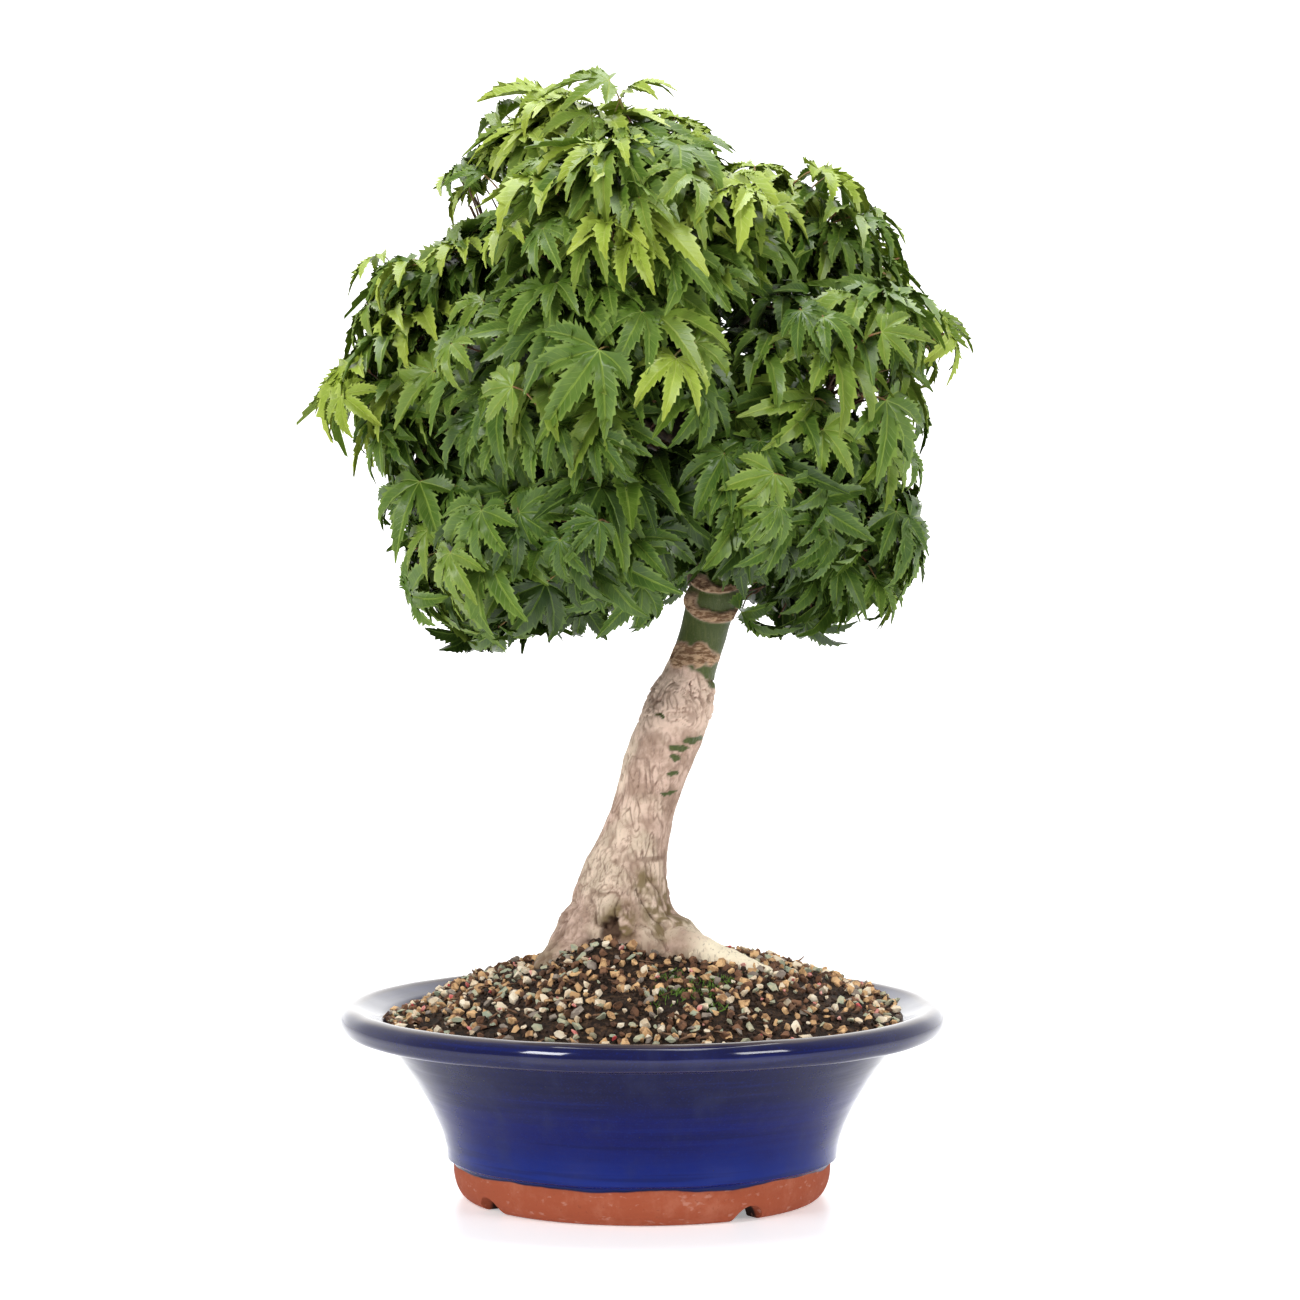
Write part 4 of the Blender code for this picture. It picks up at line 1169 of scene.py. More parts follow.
def ragged_spot(place, spot, softness, across, up):
    """Such an oval with a ragged edge: across and up give its stray, and the noise's size and seed."""
    x = place[..., 0] + across[0] * clouds(place, *across[1:])
    z = place[..., 2] + up[0] * clouds(place, *up[1:])
    return near_spot(x, z, spot, softness)


# %% Relief of old bark, the knuckle and the callus


def old_bark_relief(place, warped):
    """Lumps and cracks of old bark, and where its cracks are; both grow towards the roots."""
    low = smooth_step(place[..., 2], 158.0, 118.0)
    lumps = (0.5 + 1.3 * low) * clouds(place * (1.0, 1.0, 0.6), 11.0, 61, 2)
    lumps = lumps + (0.35 + 0.5 * low) * clouds(place, 4.5, 62)
    fissure = np.abs(clouds(warped * (1.0, 1.0, 0.24), 3.1, 63, 2))
    patches = smooth_step(clouds(place, 13.0, 64), -0.35, 0.3)
    cracks = smooth_step(fissure, 0.075, 0.015) * patches
    fine = np.abs(clouds(warped * (1.0, 1.0, 0.3), 1.7, 65))
    fine_cracks = smooth_step(fine, 0.2, 0.03)
    return lumps - CRACK_DEPTHS[0] * cracks - CRACK_DEPTHS[1] * fine_cracks, cracks, fine_cracks


def knuckle_relief(place, warped):
    """The graft's swollen, swirling bark: its relief, where it is, its torn cracks and its grown lines."""
    x, z = place[..., 0], place[..., 2]
    graft = smooth_step(z, GRAFT[0] - 4.0, GRAFT[0] + 3.0) * smooth_step(z, GRAFT[1] + 3.0, GRAFT[1] - 3.0)
    swirl = clouds(warped * (0.8, 0.8, 1.1), 6.5, 66, 2)
    torn = smooth_step(z + 4.0 * clouds(place, 5.0, 72), GRAFT[0] + 2.0, GRAFT[1] - 3.0)
    torn = graft * torn * smooth_step(np.abs(swirl), 0.09, 0.02)
    folds = smooth_step(np.abs(clouds(warped * (0.8, 0.8, 1.4), 4.0, 73, 2)), 0.12, 0.02)
    from_heart = (x - GRAFT_HEART[0], z - GRAFT_HEART[1])
    way_out = np.hypot(*from_heart) + 3.0 * clouds(place, 7.0, 85)
    way_round = 2.0 * np.arctan2(from_heart[1], from_heart[0])
    around = np.stack([way_out, way_round, 0.2 * place[..., 1]], axis=-1)
    lines = graft * smooth_step(np.abs(clouds(around, 1.7, 86)), 0.22, 0.03)
    tear_depth, fold_depth, line_depth = KNUCKLE_DEPTHS
    relief = graft * (KNUCKLE_RISE * swirl - tear_depth * torn - fold_depth * folds - line_depth * lines)
    return relief, graft, torn, lines


def callus_rings(place, front, rough):
    """1 on the rings of callus, which are thick below and fade at the top."""
    x, z = place[..., 0], place[..., 2]
    callus = 0.0
    for across, height, half_wide, half_high, band in CALLUS_RINGS:
        reach = np.hypot((x - across) / half_wide, (z + 0.9 * rough - height) / half_high)
        off_band = np.abs(reach - 1.0) * half_high / band * 2.0 + 0.45 * rough
        smile = smooth_step(z - height, half_high * 0.5, -half_high * 0.2)
        callus = np.maximum(callus, front * smooth_step(off_band, 1.25, 0.75) * smile)
    return callus


# %% The whole relief


def bark_relief(place, front):
    """Height of the bark's relief at each point in millimetres, and what its surface is."""
    x, z = place[..., 0], place[..., 2]
    warped = place + 2.6 * np.stack([clouds(place, 11.0, 50 + k) for k in range(3)], axis=-1)
    old = smooth_step(z + 4.5 * clouds(place, 5.0, 60, 2) + GREEN_LEAN * (x - 21.0), 228.0, 225.5)
    young = 1.0 - old
    lumps, cracks, fine_cracks = old_bark_relief(place, warped)
    knuckle, graft, torn, lines = knuckle_relief(place, warped)
    burl = front * np.exp(-(((x - BURL[0]) ** 2 + (z - BURL[1]) ** 2) / BURL[2] ** 2))
    # The hollow between two roots is a real dent; its colour is painted shade.
    shaded_hollow = front * ragged_spot(place, HOLLOW, 0.2, (3.5, 4.0, 83, 2), (2.5, 3.0, 84, 2))
    flare = front * smooth_step(z + 5.0 * clouds(place, 9.0, 88), 146.0, 128.0)
    folded = np.abs(clouds(warped * (1.0, 1.0, 0.62) + (0.0, 0.0, 0.35) * x[..., None], 8.0, 87, 2))
    crease = flare * smooth_step(folded, 0.085, 0.012)
    patch = front * ragged_spot(place, BROWN_PATCH, 0.2, (3.0, 5.0, 68), (2.2, 3.0, 69, 2))
    rough = clouds(place, 3.0, 74, 2)
    callus = callus_rings(place, front, rough)
    scratch = front * near_spot(x, z, SCRATCH)
    streaks = stain = 0.0
    for streak in GREEN_STREAKS:
        wavy = ragged_spot(place, streak, 0.12, (1.6, 3.0, 75), (1.4, 2.4, 76))
        streaks = np.maximum(streaks, front * wavy)
    for spot in EARTH_STAINS:
        ragged = ragged_spot(place, spot, 0.5, (4.0, 6.0, 77), (4.0, 5.0, 78))
        stain = np.maximum(stain, front * ragged * smooth_step(clouds(place, 2.6, 79, 2), -0.45, 0.05))
    relief = old * lumps + knuckle + burl * (BURL_RISE + 0.8 * clouds(place, 3.5, 67))
    relief = relief - HOLLOW_DEPTH * shaded_hollow - FOLD_DEPTH * crease
    relief = relief + FOLD_RISE * flare * smooth_step(folded, 0.1, 0.5)
    relief = relief + KNOT_RISE * young * clouds(place, 7.0, 70) + callus * (CALLUS_RISE + 0.9 * rough)
    relief = relief + patch * (PATCH_RISE + 0.5 * clouds(place, 2.2, 71))
    relief = relief - SCRATCH_DEPTH * scratch - STREAK_DEPTH * streaks
    facts = {
        "green": np.clip(young - patch - callus + streaks, 0.0, 1.0),
        # The crack mask also holds the hollow, which it paints darker as shade.
        "crack_and_shade": np.clip(old * cracks * 0.9 + torn + 0.9 * shaded_hollow + scratch + 0.8 * crease, 0.0, 1.0),
        "fine_crack": np.maximum(old * fine_cracks * (1.0 - graft), lines),
        "scar": np.clip(callus + patch, 0.0, 1.0),
        "graft": graft,
        "stain": stain,
        "shaded_hollow": shaded_hollow,
    }
    return relief, facts


# %% The trunk's mesh
def trunk_heights():
    low = np.arange(TRUNK_FOOT, HIDDEN_ABOVE, FINE_STEP)
    return np.append(low, np.arange(HIDDEN_ABOVE, TRUNK_STATIONS[-1, 0], COARSE_STEP))


def make_trunk():
    heights = np.append(trunk_heights(), TRUNK_STATIONS[-1, 0])
    angles = np.arange(TRUNK_TURNS) * math.tau / TRUNK_TURNS
    x, y, _ = trunk_at(heights).T
    reach = trunk_radius(angles[None, :], heights[:, None])
    out = np.stack([np.cos(angles), np.sin(angles), np.zeros(TRUNK_TURNS)], axis=-1)[None]
    axis = np.stack([x, y, heights], axis=-1)[:, None, :]
    place = axis + out * reach[..., None]
    front = smooth_step(-np.sin(angles), -0.1, 0.35)[None, :] * np.ones((len(heights), 1))
    relief, facts = bark_relief(place, front)
    points = (place + out * relief[..., None]).reshape(-1, 3)
    facts = {name: np.broadcast_to(value, reach.shape).ravel() for name, value in facts.items()}
    mesh = mesh_of("trunk_bark", points, ring_faces(len(heights), TRUNK_TURNS), facts)
    mesh = smooth_shaded(mesh, 70.0)
    return piece("trunk_bark", mesh, old_bark, ["trunk"], outwards=True)


# %% [markdown]
# ### The root that runs out over the soil
#
# One root leaves the flare on the right and lies on the soil before it dives in. It is a ring that is swept
# along a smooth curve, thinner towards its end, half sunk in the grit, with the same lumps as the bark. A
# Curve with a bevel and a taper would do too, but here each ring's points can be pushed in and out.

# %% A surface root
ROOT_WAY = ((0.0, -8.0), (15.0, -14.0), (27.0, -19.0), (37.0, -23.0), (47.0, -27.0), (57.0, -31.0))
ROOT_GIRTHS = (6.0, 8.4, 7.8, 6.4, 4.8, 2.6)
ROOT_LIFTS = (3.0, 3.6, 2.0, 0.7, -0.5, -2.4)  # of its middle, from the soil's surface
ROOT_TURNS = 56
ROOT_STEPS = 16  # rings in each stretch of its way


def make_surface_root():
    across, back = np.array(ROOT_WAY).T
    path = curve(np.stack([across, back, soil_height(across, back) + ROOT_LIFTS], axis=-1), ROOT_STEPS)
    girth = np.interp(np.arange(len(path)) / ROOT_STEPS, np.arange(len(ROOT_GIRTHS)), ROOT_GIRTHS)
    ahead = unit(np.gradient(path, axis=0))
    side = unit(np.cross(ahead, UP))
    above = np.cross(side, ahead)
    angles = np.arange(ROOT_TURNS) * math.tau / ROOT_TURNS
    out = np.cos(angles)[None, :, None] * side[:, None] + np.sin(angles)[None, :, None] * above[:, None]
    place = path[:, None] + out * girth[:, None, None]
    relief = 1.5 * clouds(place * 0.8, 9.0, 81, 2) + 0.5 * clouds(place, 3.0, 82)
    points = (place + out * relief[..., None]).reshape(-1, 3)
    mesh = smooth_shaded(mesh_of("surface_root", points, ring_faces(len(path), ROOT_TURNS)), 70.0)
    return piece("surface_root", mesh, old_bark, ["trunk"], outwards=True)


# %% [markdown]
# ### Bark colours
#
# Old bark is grey-beige with a breath of pink, and each crack shows darker, redder wood. The hollow between
# two roots is painted almost black as shade, and the crack colour darkens it further. Earth stains the folds
# near the soil. The young stem is olive green with paler streaks. The masks that were stored with the relief
# lay the colours down, and noise breaks every area up, drawn out along the stem.

# %% The bark's colours
PALE_BARK = (0.6, 0.435, 0.35)
GREY_BARK = (0.35, 0.24, 0.18)
BROWN_BARK = (0.27, 0.16, 0.098)
CREAM_BARK = (0.93, 0.84, 0.63)
# Wood in the cracks, and painted shade in the hollow between two roots.
CRACK_WOOD_AND_SHADE = (0.14, 0.075, 0.045)
GREEN_BARK = (0.046, 0.066, 0.01)
GREEN_STREAK = (0.092, 0.11, 0.024)
SCAR_BROWN = (0.15, 0.08, 0.042)
DARK_LEADER = (0.03, 0.02, 0.014)
EARTH_STAIN = (0.15, 0.105, 0.036)
KNUCKLE_BARK = (0.74, 0.57, 0.46)
KNUCKLE_SHADE = (0.3, 0.18, 0.12)
FIBRE_BROWN = (0.22, 0.155, 0.12)
FINE_CRACK_WOOD = (0.2, 0.12, 0.082)
# Painted shade for the hollow between two roots.
HOLLOW_PAINTED_SHADE = (0.03, 0.019, 0.011)
GREEN_SPECK = (0.14, 0.13, 0.07)
SCAR_PALE = (0.42, 0.28, 0.17)

# %% The bark's material


def bark_finish(nodes):
    place = nodes.place()
    height, across = nodes.axis(place, "Z"), nodes.axis(place, "X")
    mottle = nodes.noise(place, 8.0, detail=4.0, roughness=0.6)
    fibre = nodes.noise(nodes.place((1.0, 1.0, 0.16)), 1.3, detail=4.0, roughness=0.65)
    flakes = nodes.noise(nodes.place((1.0, 1.0, 0.6)), 3.4, detail=5.0, roughness=0.7)
    flaky_scar = nodes.noise(nodes.place((0.5, 0.5, 1.4)), 1.5, detail=4.0)
    grain = nodes.noise(place, 0.9, detail=3.0)
    drift = nodes.noise(place, 24.0, detail=2.0)
    graft, scarred, young = nodes.stored("graft"), nodes.stored("scar"), nodes.stored("green")
    # The right root low down is cream: partly its own pale bark, partly a painted highlight on its lit side.
    pale_and_lit_root = nodes.step(across + (mottle - 0.5) * 12.0, 16.0, 30.0) * nodes.step(height, 128.0, 116.0)
    near_soil = nodes.step(height + mottle * 40.0, 140.0, 122.0) * nodes.step(drift, 0.4, 0.54)
    green = nodes.layers(
        GREEN_BARK,
        (nodes.step(fibre, 0.46, 0.7) * 0.55, GREEN_STREAK),
        (nodes.step(grain, 0.6, 0.7) * 0.4, GREEN_SPECK),
        (nodes.step(height, 268.0, 290.0) * 0.85, DARK_LEADER),
    )
    scar = nodes.mix(nodes.step(flaky_scar, 0.4, 0.62), SCAR_BROWN, SCAR_PALE)
    colour = nodes.layers(
        PALE_BARK,
        (nodes.step(mottle, 0.36, 0.64), GREY_BARK),
        (nodes.step(drift, 0.42, 0.62) * 0.3, CREAM_BARK),
        (nodes.step(flakes, 0.54, 0.66) * 0.34, BROWN_BARK),
        # The right root's cream, partly a painted highlight.
        (pale_and_lit_root * 0.88, CREAM_BARK),
        (nodes.step(fibre, 0.54, 0.68) * 0.55, FIBRE_BROWN),
        (near_soil * (1.0 - pale_and_lit_root) * 0.62, EARTH_STAIN),
        (graft * 0.6, KNUCKLE_BARK),
        (graft * nodes.step(mottle, 0.5, 0.66) * 0.22, KNUCKLE_SHADE),
        (nodes.stored("fine_crack") * 0.5, FINE_CRACK_WOOD),
        (nodes.stored("stain") * 0.85, EARTH_STAIN),
        # Painted shade in the hollow between two roots.
        (nodes.stored("shaded_hollow") * 0.95, HOLLOW_PAINTED_SHADE),
        (young, green),
        (scarred, scar),
        (nodes.stored("crack_and_shade") * 0.62, CRACK_WOOD_AND_SHADE),
    )
    return {
        "Base Color": colour,
        "Roughness": 0.86 - young * 0.34 + scarred * 0.2,
        "Normal": nodes.bump(fibre * 0.55 + grain * 0.35, 0.4),
    }


old_bark = finish("old_bark", {"Specular IOR Level": 0.35}, bark_finish)
make_trunk()
make_surface_root()

# %% [markdown]
# ## The crown: where each mass of foliage has its room
#
# The crown is grown, not modelled by hand. Sixteen masses of foliage sit in tiers round the stem, each in
# its own egg-shaped room, and a limb reaches each one. These rooms and limbs are the frame's own. Everything
# finer then grows on from the limbs by the same rule: a stem to the heart of the mass, twigs towards its
# outer side, shoots along the twigs, and leaves along the shoots, each in the best of many places tried.

# %% Rooms of the masses
# Name, count, first direction, ring across, ring deep, shift across, height of the middles, half sizes
# (outwards, round, up), where the boughs leave the trunk, and the rise from one bough to the next.
TIERS = (
    ("lower", 6, 5.0, 80.0, 78.0, 3.0, 278.5, (48.0, 56.0, 47.0), 260.5, 4.5),
    ("middle", 5, 36.0, 97.0, 87.0, 4.0, 344.5, (56.0, 68.0, 48.0), 294.5, 7.0),
    ("upper", 4, 180.0, 72.0, 74.0, -2.0, 400.5, (55.0, 64.0, 47.0), 344.5, 9.0),
    ("top", 1, 180.0, 20.0, 0.0, 0.0, 437.5, (56.0, 58.0, 50.0), 0.0, 0.0),
)
RAISED_MASS = ("lower", 5)
RAISED_BY = 22.0
RAISED_HALF = (44.0, 50.0, 40.0)
CROWN_MIDDLE = np.array((0.0, -2.5, 347.5))
BOUGH_RADII = (4.0, 2.4)
BOUGH_LENGTH = 26.0
BOUGH_ARCH = 0.16
BOUGH_RINGS = 9
BOUGH_STEP = 2  # neighbours in a tier don't leave the trunk at neighbouring heights
STEM_STRAIGHT = 5.0
STEM_REACH = 0.85
STEM_ARCH = 1.5
STEM_TIP_RADIUS = 1.3
LEADER_RADIUS = 3.4  # of the trunk's tip, from which the highest mass grows
LEADER_OVERLAP = 4.0
TIP_GAP = 0.3


class Mass:
    """The room of one foliage mass: an ellipsoid, cut by flat bounds against its neighbours."""

    def __init__(self, name, centre, direction, half):
        self.name = name
        self.centre = np.array(centre)
        outwards = np.array((math.cos(direction), math.sin(direction), 0.0))
        self.axes = np.array((outwards, np.cross(UP, outwards), UP))
        self.half = np.array(half)
        self.weight = float(np.mean(self.half)) ** 2
        self.limb = None  # the bough's path up to the heart of the mass

    def level(self, points):
        """Below 1 inside the ellipsoid, 1 on it."""
        return np.linalg.norm((points - self.centre) @ self.axes.T / self.half, axis=-1)

    def past(self, other, points):
        """How far each point is past the flat bound between the two masses."""
        own = ((points - self.centre) ** 2).sum(axis=-1) - self.weight
        its = ((points - other.centre) ** 2).sum(axis=-1) - other.weight
        return (own - its) / (2.0 * np.linalg.norm(self.centre - other.centre))


def crown_masses():
    masses = []
    for name, count, first, across, deep, shift, height, half, leaves_at, rise in TIERS:
        for k in range(count):
            direction = math.radians(first) + math.tau * k / count
            x = across * math.cos(direction) + shift
            y = deep * math.sin(direction) + CROWN_MIDDLE[1]
            label = f"{name}_{k + 1}" if count > 1 else name
            raised = (name, k) == RAISED_MASS
            place = (x, y, height + (RAISED_BY if raised else 0.0))
            mass = Mass(label, place, direction, RAISED_HALF if raised else half)
            mass.leaves_at = leaves_at + rise * (BOUGH_STEP * k % count) if count > 1 else None
            masses.append(mass)
    return masses


masses = crown_masses()
print(len(masses), "masses, the highest centred at", masses[-1].centre.round(1))


# %% Limbs to the hearts of the masses


def grow_limb(mass):
    """The bough from the trunk's axis into the mass, and on as the mass's stem to its heart."""
    if mass.leaves_at is None:
        x, y, _ = trunk_at(TRUNK_STATIONS[-1, 0])[0]
        start = np.array((x, y, TRUNK_STATIONS[-1, 0] - LEADER_OVERLAP))
        end = start + UP * (LEADER_OVERLAP + TIP_GAP)
        heading = UP
        bough = [start]
        radii = [LEADER_RADIUS]
    else:
        x, y, girth = trunk_at(mass.leaves_at)[0]
        start = np.array((x, y, mass.leaves_at))
        towards = mass.centre - start
        length = np.linalg.norm(towards)
        shares = np.linspace(0.0, 1.0, 101)
        levels = mass.level(start + towards * shares[:, None])
        entry = max(shares[int(np.argmax(levels < 1.0))] * length, BOUGH_LENGTH + girth)
        end = start + towards / length * entry
        middle = (start + end) / 2.0 + UP * BOUGH_ARCH * entry
        t = np.linspace(0.0, 1.0, BOUGH_RINGS)[:-1, None]
        bough = list((1 - t) ** 2 * start + 2 * t * (1 - t) * middle + t**2 * end)
        radii = list(np.linspace(*BOUGH_RADII, BOUGH_RINGS)[:-1])
        heading = unit(end - (start + 4.0 * middle + 4.0 * end) / 9.0)
    first = end + heading * STEM_STRAIGHT
    heart = end + (mass.centre - end) * STEM_REACH
    path = np.vstack([bough, curve([end, first, (first + heart) / 2.0 + UP * STEM_ARCH, heart], 4)])
    tail = np.linspace(BOUGH_RADII[1], STEM_TIP_RADIUS, len(path) - len(radii))
    mass.limb = path
    mass.girths = np.append(radii, tail)
    mass.first = first
    mass.heart = heart


for mass in masses:
    grow_limb(mass)

# %% [markdown]
# ### Growing twigs, shoots and leaves
#
# Each leaf is tried in many places at once. A place is allowed when the whole blade stays in the mass's room,
# laced a little into the next one, and inside the crown's outline. Of the allowed places the best is the one
# with the most air to other leaves, the furthest out, and turned most to the light. Numpy tests all tries of
# a leaf together, so the whole crown grows in seconds. The fixed seed gives the same crown every time.

# %% Measures of the growth
# How far the crown reaches in the front view from its middle, every 10 degrees from +X anticlockwise.
OUTLINE_MIDDLE = (0.0, 354.5)
OUTLINE_REACH = (
    (129, 141, 111, 118, 109, 103, 111, 106, 109)
    + (116, 120, 120, 122, 124, 109, 94, 131, 123)
    + (119, 138, 118, 127, 126, 134, 133, 119, 115)
    + (109, 110, 108, 135, 141, 142, 131, 119, 117)
)
OUTLINE_DEPTH = 150.0
MOST_DEPTH = 138.0  # no leaf reaches further to the front or the back
OUTLINE_SLACK = (-0.16, 0.08)  # each leaf may stop short of the outline, or break it a little
# Sky shows through the crown here: place across, height and radius.
CLEARINGS = (
    (52.0, 347.0, 2.5), (66.0, 337.0, 2.0), (86.0, 341.0, 4.0), (102.0, 334.0, 4.0), (-64.0, 425.0, 4.0),
)
NEIGHBOUR_REACH = 170.0  # masses further apart than this can't touch
TWIGS_PER_MASS = 12
TWIG_STARTS = (0.3, 0.95)  # first and last share of the stem where a twig leaves it
TWIG_REACH = 0.7
TWIG_BEND = 2.2
TWIG_ARCH = 1.5
TWIG_RADII = (1.15, 0.6)
TARGET_POINTS = 700
SHOOT_SPOTS = ((0.42, "left"), (0.56, "right"), (0.7, "above"), (0.84, "left"), (1.0, "ahead"))
SHOOT_LENGTHS = (13.0, 25.0)
SHOOT_LEVEL = 0.97
SHOOT_BEND = 0.9
SHOOT_RADII = (0.62, 0.36)
STALK_LENGTHS = (7.0, 20.0)
STALK_ARCH = 0.1
STALK_RADII = (0.42, 0.34)
# How much a direction turns outwards, upwards and by chance.
SHOOT_AIM = (0.35, 0.12, 0.45)
STALK_AIM = (0.45, 0.05, 0.6)
FACE_AIM = (0.55, 0.72, 0.5)
LOBE_AIM = (0.8, -0.1, 0.65)
LEAF_LENGTHS = (21.0, 42.0)
LEAVES_PER_MASS = 80
LEAF_TRIES = 40
LEAF_CLEARANCE = 3.0  # from the trunk, and from the edge of a clearing
LEAST_AHEAD = 0.2
MOST_LEVEL = 1.06
LACING = 15.0  # how far a leaf may reach into the next mass's room
LEAST_ROOM = 9.5
ENOUGH_ROOM = 25.0
# What each virtue of a place counts: further out in the room, air round it, face and lobes turned outwards.
VIRTUES = (1.6, 0.025, 0.25, 0.35)
SEED = 41
SAMPLE_LOBES = ((-88.0, 0.6), (-44.0, 0.88), (0.0, 1.0), (44.0, 0.88), (88.0, 0.6))
SAMPLE_SHARES = (0.55, 1.0)  # along each lobe
SAMPLE_CURL = 1.1


# %% The crown's outline, and the points that stand for a leaf


def outline_share(points):
    """How far out each point is towards the crown's outline in the front view: 1 on it."""
    x, z = points[..., 0] - OUTLINE_MIDDLE[0], points[..., 2] - OUTLINE_MIDDLE[1]
    reaches = np.append(OUTLINE_REACH, OUTLINE_REACH[0]).astype(float)
    angle = np.degrees(np.arctan2(z, x)) % 360.0
    limit = np.interp(angle, np.arange(37) * 10.0, reaches)
    depth = np.clip(np.abs(points[..., 1]) / OUTLINE_DEPTH, 0.0, 0.98)
    return np.hypot(x, z) / (limit * (1.0 - depth**3.2) ** 0.4)


def leaf_samples():
    """The heel, and two points along each curled lobe, of a leaf one unit long."""
    points = [(0.0, 0.0, 0.0)]
    for degrees, length in SAMPLE_LOBES:
        for share in SAMPLE_SHARES:
            turn = SAMPLE_CURL * share * length
            out = math.sin(turn) / SAMPLE_CURL
            angle = math.radians(degrees)
            down = (math.cos(turn) - 1.0) / SAMPLE_CURL
            points.append((out * math.cos(angle), out * math.sin(angle), down))
    return np.array(points)


LEAF_SAMPLES = leaf_samples()


# %% How one mass grows


class Growth:
    """Everything that grows in one mass from its limb."""

    taken = []  # middles of all leaves of the crown so far

    def __init__(self, mass, others, seed):
        self.mass = mass
        self.others = [o for o in others if np.linalg.norm(o.centre - mass.centre) < NEIGHBOUR_REACH]
        self.chance = np.random.default_rng(seed)
        self.twigs = []  # path, radius at its root, radius at its tip
        self.shoots = []
        self.stalks = []
        self.leaves = []

    def aimed(self, along, outwards, out, up, chance, count=1):
        """Directions mixed from one given, the way out of the crown, the way up, and chance."""
        jitter = self.chance.uniform(-chance, chance, (count, 3))
        return unit(along + outwards * out + UP * up + jitter)

    def fits(self, points, past=0.0, most=1.0, slack=0.0):
        """For each group of points, whether all are inside the room, the outline and every bound."""
        fine = (self.mass.level(points) <= most).all(axis=-1)
        fine &= (outline_share(points) <= 1.0 + slack).all(axis=-1)
        for other in self.others:
            if not fine.any():
                break
            fine[fine] = (self.mass.past(other, points[fine]) <= past).all(axis=-1)
        return fine

    def targets(self):
        """Points spread evenly over the side of the room that faces out of the crown."""
        directions = unit(self.chance.normal(size=(TARGET_POINTS, 3)))
        points = self.mass.centre + directions * self.mass.half @ self.mass.axes * 0.96
        least = np.linalg.norm(self.mass.centre - CROWN_MIDDLE) * 0.9
        outer = np.linalg.norm(points - CROWN_MIDDLE, axis=1) > least
        points = points[self.fits(points[:, None, :], 4.0) & outer]
        chosen = [points[np.argmax(np.linalg.norm(points - CROWN_MIDDLE, axis=1))]]
        while len(chosen) < TWIGS_PER_MASS:
            gaps = np.min([np.linalg.norm(points - c, axis=1) for c in chosen], axis=0)
            chosen.append(points[np.argmax(gaps)])
        return chosen

    def clear_of_all(self, points):
        """For each group of points, whether it is clear of the trunk, the clearings and the depth limit."""
        x, y, girth = np.moveaxis(trunk_at(points[..., 2].ravel()).reshape(*points.shape[:2], 3), -1, 0)
        fine = np.hypot(points[..., 0] - x, points[..., 1] - y) > girth + LEAF_CLEARANCE
        for across, height, radius in CLEARINGS:
            gap = np.hypot(points[..., 0] - across, points[..., 2] - height)
            fine &= gap > radius + LEAF_CLEARANCE
        return (fine & (np.abs(points[..., 1] - CROWN_MIDDLE[1]) < MOST_DEPTH)).all(axis=1)

    def leaf(self, joint, spread, tone):
        """Grows the best of many tries at a leaf on a stalk from this joint, and tells whether one fits."""
        outwards = unit(joint - CROWN_MIDDLE)
        stalk = self.aimed(spread, outwards, *STALK_AIM, count=LEAF_TRIES)
        reach = self.chance.uniform(*STALK_LENGTHS, (LEAF_TRIES, 1))
        base = joint + stalk * reach
        face = self.aimed(0.0, outwards, *FACE_AIM, count=LEAF_TRIES)
        forward = self.aimed(stalk, outwards, *LOBE_AIM, count=LEAF_TRIES)
        forward = unit(forward - face * (forward * face).sum(axis=1, keepdims=True))
        size = self.chance.uniform(*LEAF_LENGTHS, LEAF_TRIES)
        side = np.cross(face, forward)
        frames = np.stack([forward, side, np.cross(forward, side)], axis=1)
        points = base[:, None, :] + (LEAF_SAMPLES[None] * size[:, None, None]) @ frames
        middle = points.mean(axis=1)
        taken = np.array(Growth.taken or [(0.0, 0.0, 0.0)])
        room = np.linalg.norm(middle[:, None, :] - taken[None], axis=2).min(axis=1)
        fine = (room > LEAST_ROOM) & ((forward * stalk).sum(axis=1) > LEAST_AHEAD)
        slack = self.chance.uniform(*OUTLINE_SLACK)
        fine[fine] = self.fits(points[fine], LACING, MOST_LEVEL, slack)
        fine &= self.clear_of_all(points)
        if not fine.any():
            return False
        level = self.mass.level(points).max(axis=1)
        turned = [(way * outwards).sum(axis=1) for way in (face, forward)]
        score = sum(w * v for w, v in zip(VIRTUES, (level, np.minimum(room, ENOUGH_ROOM), *turned)))
        best = int(np.argmax(np.where(fine, score, -9.0)))
        Growth.taken.append(middle[best])
        self.leaves.append((base[best], face[best], forward[best], size[best], tone))
        bend = joint + stalk[best] * reach[best] * 0.5 + UP * reach[best] * STALK_ARCH
        self.stalks.append(np.array([joint, bend, base[best]]))
        return True

    def sides(self, direction):
        """The way ahead, to either side and above, across a direction."""
        across = unit(np.cross(direction, UP + self.chance.uniform(-0.3, 0.3, 3)))
        above = np.cross(across, direction)
        return {"ahead": direction, "left": across, "right": -across, "above": above, "below": -above}

